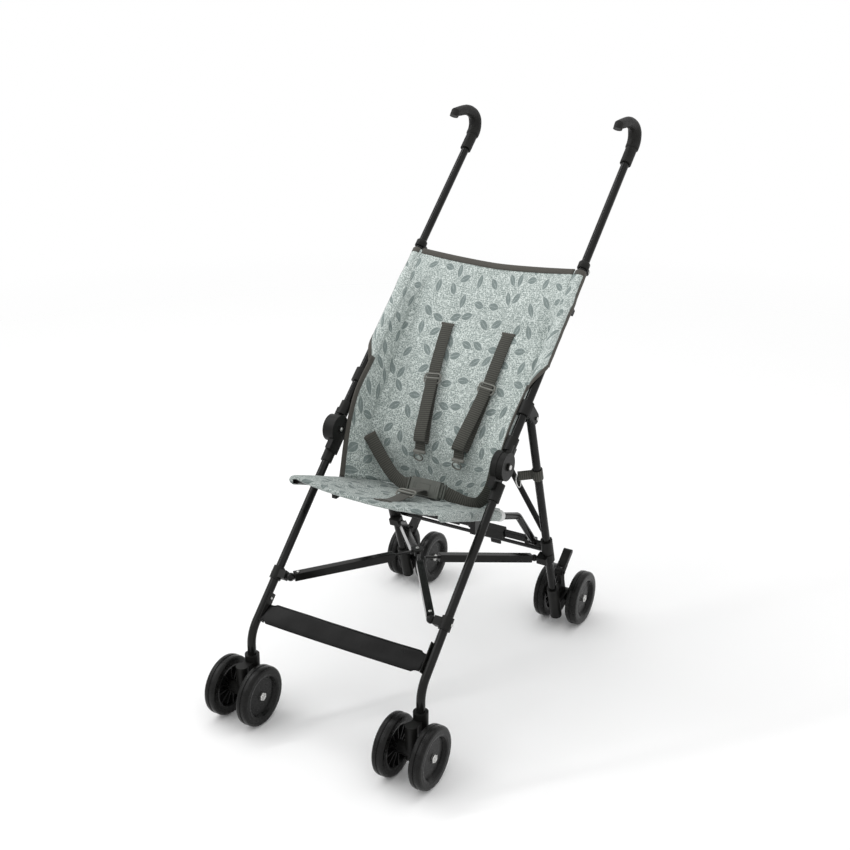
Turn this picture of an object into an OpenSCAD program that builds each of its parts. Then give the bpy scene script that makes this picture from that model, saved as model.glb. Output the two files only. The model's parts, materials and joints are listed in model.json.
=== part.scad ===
// Umbrella stroller, standing open on its four pairs of wheels.
// Front faces -Y, the floor is z = 0. Left and right are as seen from the front: left is -X.
// Side-view places are [y, z] pairs, with y counted back from the front axle.

/* [Wheels] */
// Diameter of each wheel
wheel_d = 113; // [100:1:125]
// Width of each tyre
tyre_w = 24; // [18:1:25]
// Distance between the two wheels of a pair, centre to centre
twin_spacing = 72; // [68:1:80]
// Distance between left and right wheel pairs
track = 360; // [350:1:380]
// Distance between front and rear axles
wheelbase = 626; // [615:1:640]
// Diameter of the wheel axles
axle_d = 8; // [6:0.5:9]
// Diameter of the hub boss in each wheel
hub_d = 22; // [20:1:26]
// Depth of the dish in a wheel's outer face
dish_depth = 7; // [4:0.5:8]
// Diameter of the dish in a wheel's outer face
dish_d = 78; // [70:1:80]
// Depth of the tread groove
groove_depth = 1.5; // [1:0.1:2]

/* [Tubes] */
// Outer diameter of the frame tubes
tube_d = 16; // [14:0.5:17]
// Wall of the frame tubes
tube_wall = 1.5; // [1:0.1:2.5]
// Outer diameter of the seat rails
rail_d = 14; // [10:0.5:15]
// Outer diameter of the rear cross bars
cross_d = 12; // [9:0.5:13]

/* [Front legs] */
// Height of the front leg's corner above the caster's top
leg_corner = 42; // [38:1:46]
// How far the knuckle pin stands behind the front axle
knuckle_back = 318; // [310:1:325]
// Height of the knuckle pin
knuckle_up = 464; // [455:1:475]
// How far the front leg runs below the knuckle pin
leg_drop = 16; // [14:0.5:18]
// Radius of the bend at the foot of each front leg
leg_bend_r = 60; // [45:1:70]
// How far the caster stem stands behind the front axle
caster_trail = 30.5; // [27:0.5:34]
// Height of the caster's top
caster_top = 117; // [112:1:122]
// Depth of the socket in the caster
caster_socket = 25; // [18:1:28]
// Outer diameter of the caster's collar
caster_collar_d = 27; // [24:0.5:30]

/* [Knuckles] */
// Diameter of the knuckle disc
knuckle_d = 54; // [48:1:54]
// Thickness of each half of the knuckle disc
knuckle_t = 12; // [9:0.5:13]
// Outer diameter of the sleeves round the tubes
sleeve_d = 22; // [20:0.5:24]
// Distance from the knuckle pin to the near end of its sleeves
sleeve_start = 29; // [28.5:0.5:32]
// Length of the lower sleeve
leg_sleeve_len = 35; // [30:1:45]
// Length of the upper sleeve
push_sleeve_len = 28; // [22:1:36]
// Diameter of the knuckle pin
knuckle_pin_d = 8; // [6:0.5:10]

/* [Push tubes and handles] */
// Lean of the push tubes from upright
push_lean = 48; // [46:0.5:49]
// Distance from the knuckle pin to the foot of the handle
handle_start = 686; // [670:1:700]
// Outer diameter of the handle's sleeve
handle_sleeve_d = 23; // [20:0.5:26]
// Distance from the knuckle pin to the start of the hook
hook_start = 731; // [722:1:745]
// Radius of the hook's back bend
hook_r = 26; // [22:0.5:30]
// Turn of the hook's back bend
hook_turn = 108; // [100:1:112]
// Radius of the hook's flatter top
hook_top_r = 75; // [60:1:90]
// Length of the hook's straight nose
nose_len = 36; // [28:1:42]
// Diameter of the grip at its back
grip_d = 27; // [24:0.5:29]
// Diameter of the grip at its nose
nose_d = 19; // [16:0.5:22]

/* [Rear legs] */
// Distance from the knuckle pin along the push tube to the rear leg's pivot
clamp_up = 118.5; // [112:0.5:125]
// Distance from the push tube's axis back to the rear leg's pivot
clamp_drop = 31; // [29:0.5:34]
// Outer diameter of the clamp on the push tube
clamp_d = 24; // [21:0.5:26]
// Length of the clamp on the push tube
clamp_len = 28; // [22:1:34]
// Diameter of the pivot pins
pin_d = 6; // [5:0.5:7]
// Distance from the rear leg's axis back to the rear axle
rear_trail = 47.9; // [46:0.1:50]
// Height of the rear leg's end above the rear axle, along the leg
leg_end_up = 5.4; // [3:0.1:9]
// Distance down the rear leg to the lower bracket
bracket_down = 318; // [310:1:325]
// Distance down the rear leg to the brace runner
runner_down = 352; // [348:1:356]
// Outer diameter of the brackets on the rear leg
bracket_d = 24; // [21:0.5:26]
// Length of the brackets on the rear leg
bracket_len = 20; // [16:1:22]
// Length of the rear leg inside the wheel housing
housing_lap = 55; // [50:1:58]
// Length of the wheel housing below the end of the rear leg
housing_foot = 23; // [18:1:26]
// Length of the brake pedal
pedal_len = 54; // [46:1:60]

/* [Brace and cross bars] */
// Distance down the front leg to the brace bracket
brace_down = 298; // [292:1:304]
// Distance from the front leg inboard to the brace arm's end
brace_inset = 30.5; // [28:0.5:33]
// How far the brace hub stands behind the knuckle pin
hub_behind = 5; // [0:1:12]
// Height of the brace bars
bar_h = 15; // [13:0.5:16]
// Width of the brace bars
bar_w = 14; // [11:0.5:15]
// Diameter of the brace hub's post
hub_post_d = 12; // [10:0.5:12.5]
// Distance from the rear leg inboard to the end of a brace channel
runner_inset = 25; // [23:0.5:27]
// Distance along the push tube to the upper end of the rear cross bars
cross_up = 349; // [344:1:354]
// Distance from the push tube inboard to a rear cross bar's end
cross_inset = 12; // [11:0.5:13]
// Distance from the push tube back to the nearer cross bar
cross_back = 22; // [20.5:0.5:24]
// Distance between the two rear cross bars where they pass
cross_gap = 15; // [13.5:0.5:17]

/* [Seat] */
// How far the seat's crease stands behind the knuckle pin
crease_behind = 95; // [87:1:102]
// How far the seat's crease hangs below the knuckle pin
crease_drop = 139; // [134:1:144]
// How far the seat's front edge stands before the knuckle pin
seat_front_ahead = 170; // [158:1:178]
// How far the seat's front edge lies below the knuckle pin
seat_front_drop = 37; // [32:1:44]
// Distance from the rear leg inboard to the seat rail
rail_inset = 30; // [28:0.5:32]
// How far the rail's bend stands behind the knuckle pin
rail_bend_behind = 132; // [124:1:138]
// How far the rail's bend lies below the knuckle pin
rail_bend_drop = 161; // [156:1:166]
// Radius of the rail's bend
rail_bend_r = 30; // [22:1:40]
// Thickness of the seat fabric with its lining
cloth_t = 4; // [2.5:0.5:6]
// Distance along the push tube to the top of the seat back
back_top = 428; // [424:1:440]
// How far the small of the back stands behind the knuckle pin
lumbar_behind = 100; // [92:1:108]
// How far the small of the back lies below the knuckle pin
lumbar_drop = 49; // [39:1:59]
// Distance along the push tube to the low end of the seat back's side
edge_low = 62; // [60:1:80]
// Share of the side fold's depth that the back already curves through
wing_curve = 0.25; // [0.1:0.05:0.4]
// Half width of the seat back between its side folds
back_half = 150; // [145:1:154]
// Sag of the hem between the top corners
hem_sag = 14; // [5:1:25]
// Sag of the seat pan between the rails
pan_sag = 16; // [8:1:24]

/* [Lock, footrest and harness] */
// Distance from the rear leg inboard to a lock link's pivot
link_inset = 46; // [43:0.5:49]
// Distance from the seat rail's pivot down to the lock link's pivot
link_drop = 15; // [14:0.5:16]
// Thickness of each lock link
link_t = 4; // [3:0.5:5]
// Height of the lock links
link_h = 14; // [11:0.5:16]
// Distance from the middle to the lock pedal's sleeve
pedal_in = 30; // [29:1:36]
// Width of the lock pedal's sleeve
pedal_w = 48; // [40:1:54]
// Length of the lock pedal
lock_pedal_len = 34; // [26:1:40]
// Distance down the front leg to the footrest
foot_down = 352; // [346:1:358]
// Thickness of the footrest panel
foot_t = 3; // [2:0.5:4]
// Depth of the footrest panel
foot_depth = 44; // [36:1:50]
// Slope of the footrest panel from level
foot_slope = 26; // [20:1:30]
// Width of the harness webbing
web_w = 25; // [20:1:28]
// Thickness of the harness webbing
web_t = 2; // [1.5:0.1:3]
// How far the buckle lies before the crease
buckle_ahead = 56; // [50:1:60]
// How far the buckle lies above the crease
buckle_lift = 38.4; // [38:0.1:42]
// Width of the buckle
buckle_w = 62; // [54:1:70]
// Height of the buckle
buckle_h = 34; // [28:1:40]
// Thickness of the buckle
buckle_t = 16; // [13:0.5:18]
// Width of the buckle's release button
button_w = 22; // [16:1:28]
// Height of the buckle's release button
button_h = 14; // [10:1:18]
// Depth of the well round the button
button_depth = 7; // [6:0.5:9]
// Travel of the button
button_travel = 2.5; // [1.5:0.1:3.5]

/* [Clearances] */
// Radial clearance of running and sliding fits
fit = 0.05; // [0.02:0.01:0.1]
// Gap between pieces that pass each other
gap = 0.4; // [0.3:0.05:0.6]

/* [Hidden] */
$fn = 48;
frame_black = [0.09, 0.09, 0.09];
plastic_black = [0.13, 0.13, 0.13];
bright_steel = [0.75, 0.75, 0.73];
cloth_green = [0.62, 0.68, 0.66];
web_grey = [0.28, 0.28, 0.26];

wheel_r = wheel_d / 2;
half = track / 2;
twin_half = twin_spacing / 2;
// Furthest back that the hook reaches, from the front axle
hook_y = knuckle_back + hook_start * sin(push_lean) - hook_r * cos(push_lean) + hook_r + grip_d / 2;
// Places the middle of the object's length at y = 0
front_y = (wheel_r - hook_y) / 2;

knuckle = [knuckle_back, knuckle_up];
// Where the front leg's axis meets the axis of its upright stub
leg_bend = [caster_trail, caster_top + leg_corner];
leg_lean = atan2(knuckle.x - leg_bend.x, knuckle.y - leg_bend.y)
    + asin(leg_drop / norm(knuckle - leg_bend));
leg_foot = knuckle + leg_drop * [cos(leg_lean), -sin(leg_lean)];
// Length of the front leg's axis from beside the knuckle to its upright stub
leg_run = (leg_foot.x - caster_trail) / sin(leg_lean);
leg_turn = leg_bend_r * tan(leg_lean / 2);
stub_top = leg_bend.y - leg_turn;
stub_end = caster_top - caster_socket + gap;
rear_pivot = knuckle + clamp_up * [sin(push_lean), cos(push_lean)]
    + clamp_drop * [cos(push_lean), -sin(push_lean)];
rear_axle = [wheelbase, wheel_r];
rear_lean = atan2(rear_axle.y - rear_pivot.y, rear_axle.x - rear_pivot.x)
    + acos(rear_trail / norm(rear_axle - rear_pivot));
// Height of the rear axle above the pivot, along the rear leg
axle_z = -(wheelbase - rear_pivot.x) * sin(rear_lean) + (wheel_r - rear_pivot.y) * cos(rear_lean);
rear_len = -axle_z - leg_end_up;
housing_down = rear_len - housing_lap;
housing_end = rear_len + housing_foot;
pedal_back = rear_trail - 9;
pedal_z = -(housing_down - 11);

rail_pivot = rear_pivot + bracket_down * [sin(rear_lean), -cos(rear_lean)];
rail_bend = knuckle + [rail_bend_behind, -rail_bend_drop];
seat_front = knuckle + [-seat_front_ahead, -seat_front_drop];
crease = knuckle + [crease_behind, -crease_drop];
rail_x = half - rail_inset;
buckle_place = crease + [-buckle_ahead, buckle_lift];

// Brace: the bracket's ball, the hub and the runner's ball
brace_side = leg_foot - brace_down * [sin(leg_lean), cos(leg_lean)];
brace_x = half - brace_inset;
hub_back = knuckle.x + hub_behind;
hub_up = brace_side.y;
brace_ball_d = 16;
runner_ball_d = 14;
runner_front = 14;
runner_side = rear_pivot + runner_down * [sin(rear_lean), -cos(rear_lean)]
    - runner_front * [cos(rear_lean), sin(rear_lean)];
runner_x = half - runner_inset;
channel_lift = -bar_h / 2 - 5;
tongue_t = 3;
tongue_len = 50;

cross_ball_d = cross_d + 1;

back_rows = 12;
back_columns = 20;
// Lower edge of the back above the crease, and the share of its height below the small of the back
back_lift = 10;
lumbar_share = 0.25;
// Cloth edge ahead of the push tube's middle
edge_ahead = 4;
// Rear end of the pan from the crease
pan_end = [-14, 12];
// Half width of the seat back, clear of the clamps on the push tubes
edge_x = half - clamp_d / 2 - 2 * gap;

// Mirrors a right-hand piece for the left side
module on_side(side) {
    if (side < 0) mirror([1, 0, 0]) children();
    else children();
}

// Moves to a side-view place at the given distance from the middle
module at_side(x, place) translate([x, front_y + place.x, place.y]) children();

// Local +Z runs up the front leg, +Y points back and down
module leg_frame() at_side(half, leg_foot) rotate([-leg_lean, 0, 0]) children();

// Local +Z runs up the push tube, +Y points back and down
module push_frame() at_side(half, knuckle) rotate([-push_lean, 0, 0]) children();

// Local +Z runs up the rear leg, +Y points back
module rear_frame() at_side(half, rear_pivot) rotate([rear_lean, 0, 0]) children();

module span_z(d, low, high) translate([0, 0, low]) cylinder(d = d, h = high - low);

module span_x(d, low, high) rotate([0, 90, 0]) span_z(d, low, high);

module span_y(d, low, high) rotate([-90, 0, 0]) span_z(d, low, high);

module block(low, high) translate(low) cube(high - low);

// Round rod between two points
module rod(a, b, d) {
    v = b - a;
    translate(a)
        rotate([0, acos(v.z / norm(v)), atan2(v.y, v.x)])
            cylinder(d = d, h = norm(v));
}

// Local +X runs from a to b, +Z stays as upright as it can
module from_to(a, b) {
    v = b - a;
    translate(a)
        rotate([0, -asin(v.z / norm(v)), atan2(v.y, v.x)])
            children();
}

function side_point(x, place) = [x, front_y + place.x, place.y];

// Tube path of the front leg: a straight leg, a bend and an upright stub
module leg_path(d, over) {
    lap = 1;
    leg_frame() span_z(d, leg_turn - leg_run - lap, over - sleeve_start - 1);
    at_side(half, [caster_trail + leg_bend_r, stub_top])
        rotate([90, 0, 90])
            rotate([0, 0, 180 - leg_lean])
                rotate_extrude(angle = leg_lean)
                    translate([leg_bend_r, 0])
                        circle(d = d - 0.1);
    at_side(half, [caster_trail, 0]) span_z(d, stub_end - over, stub_top + lap);
}

module front_leg(side) {
    color(frame_black) on_side(side) difference() {
        leg_path(tube_d, 0);
        leg_path(tube_d - 2 * tube_wall, 1);
    }
}

// Inner half of the knuckle with the pin and its outer head
module knuckle_base(side) {
    head_in = knuckle_t + gap;
    head_d = knuckle_pin_d + 6;
    head_t = 3;
    // How far the neck's faces lie inside the disc's faces
    step = 0.5;
    color(plastic_black) on_side(side) difference() {
        union() {
            at_side(half, knuckle) span_x(knuckle_d, -knuckle_t, -gap / 2);
            at_side(half, knuckle) span_x(head_d, -knuckle_t - 2, -knuckle_t + 1);
            at_side(half, knuckle) span_x(knuckle_pin_d, -1, head_in + 1);
            at_side(half, knuckle) span_x(head_d, head_in, head_in + head_t);
            leg_frame() span_z(sleeve_d, -sleeve_start - leg_sleeve_len, -sleeve_start);
            leg_frame()
                block([step - knuckle_t, -leg_drop - 8, -sleeve_start - 16], [-gap / 2 - step, 9, -10]);
        }
        leg_frame() span_z(tube_d + 2 * fit, -sleeve_start - leg_sleeve_len - 1, -sleeve_start - 0.5);
    }
}

module knuckle_cap(side) {
    color(plastic_black) on_side(side) difference() {
        union() {
            at_side(half, knuckle) span_x(knuckle_d - 2, gap / 2, knuckle_t);
            push_frame() span_z(sleeve_d, sleeve_start, sleeve_start + push_sleeve_len);
            push_frame() block([gap / 2, -9, 10], [knuckle_t - 2, 9, sleeve_start + 12]);
        }
        push_frame() span_z(tube_d + 2 * fit, sleeve_start + 1.5, sleeve_start + push_sleeve_len + 1);
        at_side(half, knuckle) span_x(knuckle_pin_d + 2 * fit, -1, knuckle_t + 1);
    }
}

// Collar on the front leg with the pad that the brace arm swings on
module leg_bracket(side) {
    pad_x = brace_inset - brace_ball_d / 2 - gap;
    color(plastic_black) on_side(side) leg_frame() translate([0, 0, -brace_down]) difference() {
        union() {
            span_z(sleeve_d, -12, 12);
            block([-pad_x, -8, -8], [0, 8, 8]);
        }
        span_z(tube_d + 2 * fit, -13, 13);
    }
}

module push_tube(side) {
    color(frame_black) on_side(side) push_frame() difference() {
        span_z(tube_d, sleeve_start + 2, hook_start - 12);
        span_z(tube_d - 2 * tube_wall, sleeve_start + 1, hook_start - 11);
    }
}

// Clamp on the push tube with two ears and the rear leg's pivot pin
module leg_clamp(side) {
    ear_in = tube_d / 2 + gap;
    ear_out = ear_in + 4;
    color(plastic_black) on_side(side) push_frame() translate([0, 0, clamp_up]) difference() {
        union() {
            span_z(clamp_d, -clamp_len / 2, clamp_len / 2);
            for (s = [-1, 1]) {
                span = s > 0 ? [ear_in, ear_out] : [-ear_out, -ear_in];
                block([span[0], 0, -11], [span[1], clamp_drop, 11]);
                translate([0, clamp_drop, 0]) span_x(22, span[0], span[1]);
            }
            translate([0, clamp_drop, 0]) span_x(pin_d, -ear_out - 2, ear_out + 2);
        }
        span_z(tube_d + 2 * fit, -clamp_len, clamp_len);
    }
}

// Bracket on the push tube with a pad for each end of the rear cross bars
module top_bracket(side) {
    back = side < 0 ? cross_back : cross_back + cross_gap;
    pad_y = back - cross_ball_d / 2 - gap;
    color(plastic_black) on_side(side) push_frame() translate([0, 0, cross_up]) difference() {
        union() {
            span_z(sleeve_d, -10, 10);
            block([-cross_inset, 6, -6], [4, pad_y, 6]);
        }
        span_z(tube_d + 2 * fit, -11, 11);
    }
}

// Closed skin through rings of equal point count, each ring a list of points
module skin(rings) {
    m = len(rings[0]);
    last = (len(rings) - 1) * m;
    points = [for (ring = rings) for (p = ring) p];
    faces = concat(
        [[for (j = [m - 1:-1:0]) j]],
        [[for (j = [0:m - 1]) last + j]],
        [for (i = [0:len(rings) - 2]) for (j = [0:m - 1]) for (t = [0, 1])
            let (a = i * m + j, b = i * m + (j + 1) % m)
                t == 0 ? [a, b + m, a + m] : [a, b, b + m]]
    );
    polyhedron(points, faces, convexity = 4);
}

// Middle of the grip in the push tube's frame: [y, z, heading, thickness]
function grip_at(i) = let (
        turn_end = 90 + push_lean,
        bend_end = [-hook_r + hook_r * cos(hook_turn), hook_start + hook_r * sin(hook_turn)],
        top_c = bend_end - hook_top_r * [cos(hook_turn), sin(hook_turn)],
        top_end = top_c + hook_top_r * [cos(turn_end), sin(turn_end)],
        thin = grip_d - (grip_d - nose_d) * max(0, i - 8) / 10,
        dir = [-sin(turn_end), cos(turn_end)]
    ) i == 0 ? [0, hook_start - 8, 0, grip_d - 3]
    : i == 1 ? [0, hook_start - 5, 0, grip_d]
    : i <= 12 ? let (t = hook_turn * (i - 2) / 10)
        [-hook_r + hook_r * cos(t), hook_start + hook_r * sin(t), t, thin]
    : i <= 16 ? let (t = hook_turn + (turn_end - hook_turn) * (i - 12) / 4)
        [top_c.x + hook_top_r * cos(t), top_c.y + hook_top_r * sin(t), t, thin]
    : i == 17 ? let (p = top_end + 0.55 * nose_len * dir) [p.x, p.y, turn_end, thin]
    : i == 18 ? let (p = top_end + nose_len * dir) [p.x, p.y, turn_end + 24, nose_d]
    : let (p = top_end + (nose_len + 7) * dir, q = 8 * [cos(turn_end), sin(turn_end)])
        [p.x - q.x, p.y - q.y, turn_end + 60, nose_d - 1];

// Cane-hook handle: a sleeve on the tube and a tapering grip
module handle(side) {
    around = 20;
    rings = [for (i = [0:19]) let (g = grip_at(i)) [for (j = [0:around - 1])
        let (r = g[3] / 2 * cos(360 * j / around), x = g[3] / 2 * sin(360 * j / around))
            [x, g.x + r * cos(g[2]), g.y + r * sin(g[2])]]];
    color(plastic_black) on_side(side) push_frame() difference() {
        union() {
            span_z(handle_sleeve_d, handle_start, hook_start - 2);
            skin(rings);
        }
        span_z(tube_d + 2 * fit, handle_start - 1, hook_start - 12 + gap);
    }
}

module caster(side) {
    boss_half = twin_half - tyre_w / 2 - gap;
    post_d = 23;
    color(plastic_black) on_side(side) difference() {
        union() {
            at_side(half, [caster_trail, 0])
                span_z(caster_collar_d, caster_top - caster_socket - 8, caster_top);
            at_side(half, [0, wheel_r]) span_x(axle_d + 16, -boss_half, boss_half);
            at_side(half, [0, 0]) span_z(post_d, wheel_r - 14, caster_top - 10);
            at_side(half, [0, 0])
                block([-9, 0, caster_top - caster_socket - 8], [9, caster_trail, caster_top - 12]);
            at_side(half, [0, 0]) block([-6, 0, wheel_r - 10], [6, caster_trail, caster_top - caster_socket]);
        }
        at_side(half, [caster_trail, 0])
            span_z(tube_d + 2 * fit, caster_top - caster_socket, caster_top + 1);
        at_side(half, [0, wheel_r]) span_x(axle_d + 2 * fit, -boss_half - 1, boss_half + 1);
    }
}

// Bolt through a pair of wheels with a nut at each end
module pair_axle(place) {
    nut_in = twin_half + tyre_w / 2 - dish_depth + gap;
    nut_t = 5;
    at_side(half, place) {
        span_x(axle_d, -nut_in - nut_t, nut_in + nut_t);
        span_x(axle_d + 6, -nut_in - nut_t + 1, -nut_in);
        span_x(axle_d + 6, nut_in, nut_in + nut_t - 1);
    }
}

module front_axle(side) color(bright_steel) on_side(side) pair_axle([0, wheel_r]);

module back_axle(side) color(bright_steel) on_side(side) pair_axle(rear_axle);

// Half section of a wheel: x is the radius, y runs from the fork side to the dished side
module wheel_section() {
    w = tyre_w / 2;
    shoulder = 6;
    rim_in = dish_d / 2;
    hub_r = hub_d / 2;
    bore_r = axle_d / 2 + fit;
    inner_depth = 8;
    web_low = -w + inner_depth;
    polygon([
        [bore_r, -w], [hub_r, -w], [hub_r + 1, web_low], [rim_in - 3, web_low], [rim_in, -w + 1],
        [rim_in + 4, -w], [wheel_r - shoulder, -w],
        for (t = [0:30:90]) [wheel_r - shoulder + shoulder * sin(t), -w + shoulder - shoulder * cos(t)],
        [wheel_r, -2], [wheel_r - groove_depth, -1], [wheel_r - groove_depth, 1], [wheel_r, 2],
        for (t = [0:30:90]) [wheel_r - shoulder + shoulder * cos(t), w - shoulder + shoulder * sin(t)],
        [rim_in + 4, w], [rim_in, w - 1], [rim_in - 4, w - dish_depth], [bore_r, w - dish_depth]
    ]);
}

// One wheel of a pair: outward is 1 for the wheel away from the middle
module wheel(side, place, outward) {
    ribs = 12;
    hub_face = -tyre_w / 2 + 2;
    web_face = -tyre_w / 2 + 8.5;
    color(plastic_black) on_side(side) at_side(half + outward * twin_half, place)
        rotate([0, outward * 90, 0]) {
            rotate_extrude() wheel_section();
            for (i = [0:ribs - 1])
                rotate([0, 0, i * 360 / ribs])
                    block([hub_d / 2 - 1, -1, hub_face], [dish_d / 2 - 1, 1, web_face]);
        }
}

module rear_leg(side) {
    color(frame_black) on_side(side) rear_frame() difference() {
        span_z(tube_d, -rear_len, 9);
        span_z(tube_d - 2 * tube_wall, -rear_len - 1, -12);
        span_x(pin_d + 2 * fit, -tube_d, tube_d);
    }
}

// Collar on the rear leg that carries the seat rail, the lock link and the cross bar
module rear_bracket(side) {
    back = side > 0 ? cross_back : cross_back + cross_gap;
    pad_y = back - cross_ball_d / 2 - gap;
    link_y = bracket_d / 2 - 2;
    color(plastic_black) on_side(side) rear_frame() translate([0, 0, -bracket_down]) difference() {
        union() {
            span_z(bracket_d, -link_drop - 7, bracket_len / 2);
            span_x(pin_d, -rail_inset - 9, 0);
            block([-cross_inset - 1, 5, -0.5], [4, pad_y, 6]);
            block([-link_inset - 9, link_y - 3, -link_drop - 6.5], [-4, link_y, -link_drop + 5.5]);
            translate([-link_inset, 0, -link_drop])
                span_y(pin_d, link_y - 3, link_y + 2 * link_t + 2 * gap + 2);
        }
        span_z(tube_d + 2 * fit, -link_drop - 8, bracket_len);
    }
}

// Wheel housing at the foot of the rear leg, with an ear for the brake pedal
module rear_housing(side) {
    boss_half = twin_half - tyre_w / 2 - gap;
    ear_half = 4;
    color(plastic_black) on_side(side) rear_frame() difference() {
        union() {
            span_z(bracket_d, -housing_end, -housing_down);
            translate([0, rear_trail, axle_z]) span_x(axle_d + 18, -boss_half, boss_half);
            block([-9, 0, axle_z - 12], [9, rear_trail, axle_z + 12]);
            block([-ear_half, 6, axle_z], [ear_half, rear_trail - 1, pedal_z - 26]);
            block([-ear_half, pedal_back - 7, axle_z], [ear_half, pedal_back + 7, pedal_z]);
            translate([0, pedal_back, pedal_z]) span_x(16, -ear_half, ear_half);
            translate([0, pedal_back, pedal_z]) span_x(pin_d, -11, 11);
        }
        span_z(tube_d + 2 * fit, -rear_len - gap, -housing_down + 1);
        translate([0, rear_trail, axle_z]) span_x(axle_d + 2 * fit, -boss_half - 1, boss_half + 1);
    }
}

// Brake pedal: two cheeks on the ear and a foot plate
module brake_pedal(side) {
    cheek_in = 4 + gap;
    cheek_out = 9;
    color(plastic_black) on_side(side) rear_frame() translate([0, pedal_back, pedal_z])
        rotate([22, 0, 0]) difference() {
            union() {
                for (s = [[-cheek_out, -cheek_in], [cheek_in, cheek_out]]) {
                    span_x(15, s[0], s[1]);
                    block([s[0], 0, -6], [s[1], 20, 6]);
                }
                block([-cheek_out, 12, -5], [cheek_out, pedal_len - 6, 5]);
                translate([0, pedal_len - 6, 0]) span_x(10, -cheek_out, cheek_out);
            }
            span_x(pin_d + 2 * fit, -cheek_out - 1, cheek_out + 1);
        }
}

// Front arm of the brace: a bar, a ball at the leg and a thin tongue at the hub
module brace_arm(side) {
    hub = side_point(0, [hub_back, hub_up]);
    ball = side_point(brace_x, brace_side);
    len = norm(ball - hub);
    color(frame_black) on_side(side) from_to(hub, ball) {
        block([tongue_len, -bar_w / 2, -bar_h / 2], [len - 7, bar_w / 2, bar_h / 2]);
        block([hub_post_d / 2 + 3, -3, gap], [tongue_len + 2, 3, gap + tongue_t]);
        translate([len, 0, 0]) sphere(d = brace_ball_d);
    }
}

// Rear channel of the brace: an inverted U bar with a ball at the runner
module brace_channel(side) {
    wall = 2;
    hub = side_point(0, [hub_back, hub_up + channel_lift]);
    ball = side_point(runner_x, runner_side);
    len = norm(ball - hub);
    start = tongue_len - 4;
    color(frame_black) on_side(side) from_to(hub, ball) {
        difference() {
            block([start, -bar_w / 2, -bar_h / 2], [len - 7, bar_w / 2, bar_h / 2]);
            block([start + 4, wall - bar_w / 2, -bar_h / 2 - 1],
                [len - 16, bar_w / 2 - wall, bar_h / 2 - wall]);
        }
        block([16, -2, -2], [start + 1, 2, 2]);
        translate([len, 0, 0]) sphere(d = runner_ball_d);
    }
}

// Runner that slides on the rear leg and carries the brace channel's end
module brace_runner(side) {
    pad_x = runner_inset - runner_ball_d / 2 - gap;
    color(plastic_black) on_side(side) rear_frame() translate([0, 0, -runner_down]) difference() {
        union() {
            span_z(bracket_d, -bracket_len / 2, bracket_len / 2);
            block([-pad_x, -runner_front - 6, -8], [4, 0, 8]);
        }
        span_z(tube_d + 2 * fit, -bracket_len, bracket_len);
    }
}

module brace_hub() {
    top = tongue_t + 2 * gap;
    color(bright_steel) at_side(0, [hub_back, hub_up]) {
        span_z(hub_post_d, -9, top + 1);
        span_z(2 * hub_post_d, top, top + 3);
    }
}

function push_point(x, y, z) = side_point(x, knuckle + z * [sin(push_lean), cos(push_lean)]
    + y * [cos(push_lean), -sin(push_lean)]);

function rear_point(x, y, z) = side_point(x, rear_pivot + z * [-sin(rear_lean), cos(rear_lean)]
    + y * [cos(rear_lean), sin(rear_lean)]);

// Rear cross bar from the top of one side to the lower bracket of the other
module rear_cross(side, back) {
    top = push_point(side * (half - cross_inset), back, cross_up);
    low = rear_point(-side * (half - cross_inset), back, -bracket_down);
    color(frame_black) {
        rod(top, low, cross_d);
        translate(top) sphere(d = cross_ball_d);
        translate(low) sphere(d = cross_ball_d);
    }
}

// Bent seat rail with an eye on the lower bracket and a rest under its front run
module seat_rail(side) {
    eye_half = 6;
    rest_share = 0.56;
    run_in = rail_bend - rail_pivot;
    run_out = seat_front - rail_bend;
    angle_in = atan2(run_in.y, run_in.x);
    angle_out = atan2(run_out.y, run_out.x);
    turn = angle_out - angle_in;
    bend_start = rail_bend - rail_bend_r * tan(turn / 2) * run_in / norm(run_in);
    bend_end = rail_bend + rail_bend_r * tan(turn / 2) * run_out / norm(run_out);
    bend_c = bend_start + rail_bend_r * [-sin(angle_in), cos(angle_in)];
    rest = bend_end + rest_share * (seat_front - bend_end);
    lap_in = run_in / norm(run_in);
    lap_out = run_out / norm(run_out);
    color(frame_black) on_side(side) difference() {
        union() {
            at_side(rail_x, rail_pivot) span_x(rail_d + 3, -eye_half, eye_half);
            rod(side_point(rail_x, rail_pivot), side_point(rail_x, bend_start + lap_in), rail_d);
            at_side(rail_x, bend_c) rotate([90, 0, 90]) rotate([0, 0, angle_in - 90])
                rotate_extrude(angle = turn) translate([rail_bend_r, 0]) circle(d = rail_d - 0.1);
            rod(side_point(rail_x, bend_end - lap_out), side_point(rail_x, seat_front), rail_d);
            at_side(rail_x, rest) block([-5, -14, -30], [5, 14, 0]);
        }
        at_side(rail_x, rail_pivot) span_x(pin_d + 2 * fit, -eye_half - 10, eye_half + 10);
    }
}

// Lock link from the lower bracket to the middle; the left one carries the centre rivet
module lock_link(side) {
    reach = half - link_inset;
    link_y = bracket_d / 2 - 2 + gap;
    layer = side < 0 ? link_t + gap : 0;
    color(frame_black) on_side(side) rear_frame()
        translate([-link_inset, link_y, -bracket_down - link_drop]) difference() {
            union() {
                span_y(link_h, 0, 2 * link_t + gap);
                block([-reach + 28, 0, -link_h / 2], [0, 2 * link_t + gap, link_h / 2]);
                translate([-reach, 0, 0]) span_y(link_h, layer, layer + link_t);
                block([-reach, layer, -link_h / 2], [-reach + 29, layer + link_t, link_h / 2]);
                if (side < 0) translate([-reach, 0, 0]) span_y(pin_d + 4, layer + 1, layer + link_t + 2);
            }
            span_y(pin_d + 2 * fit, -1, 2 * link_t + 20);
        }
}

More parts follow.
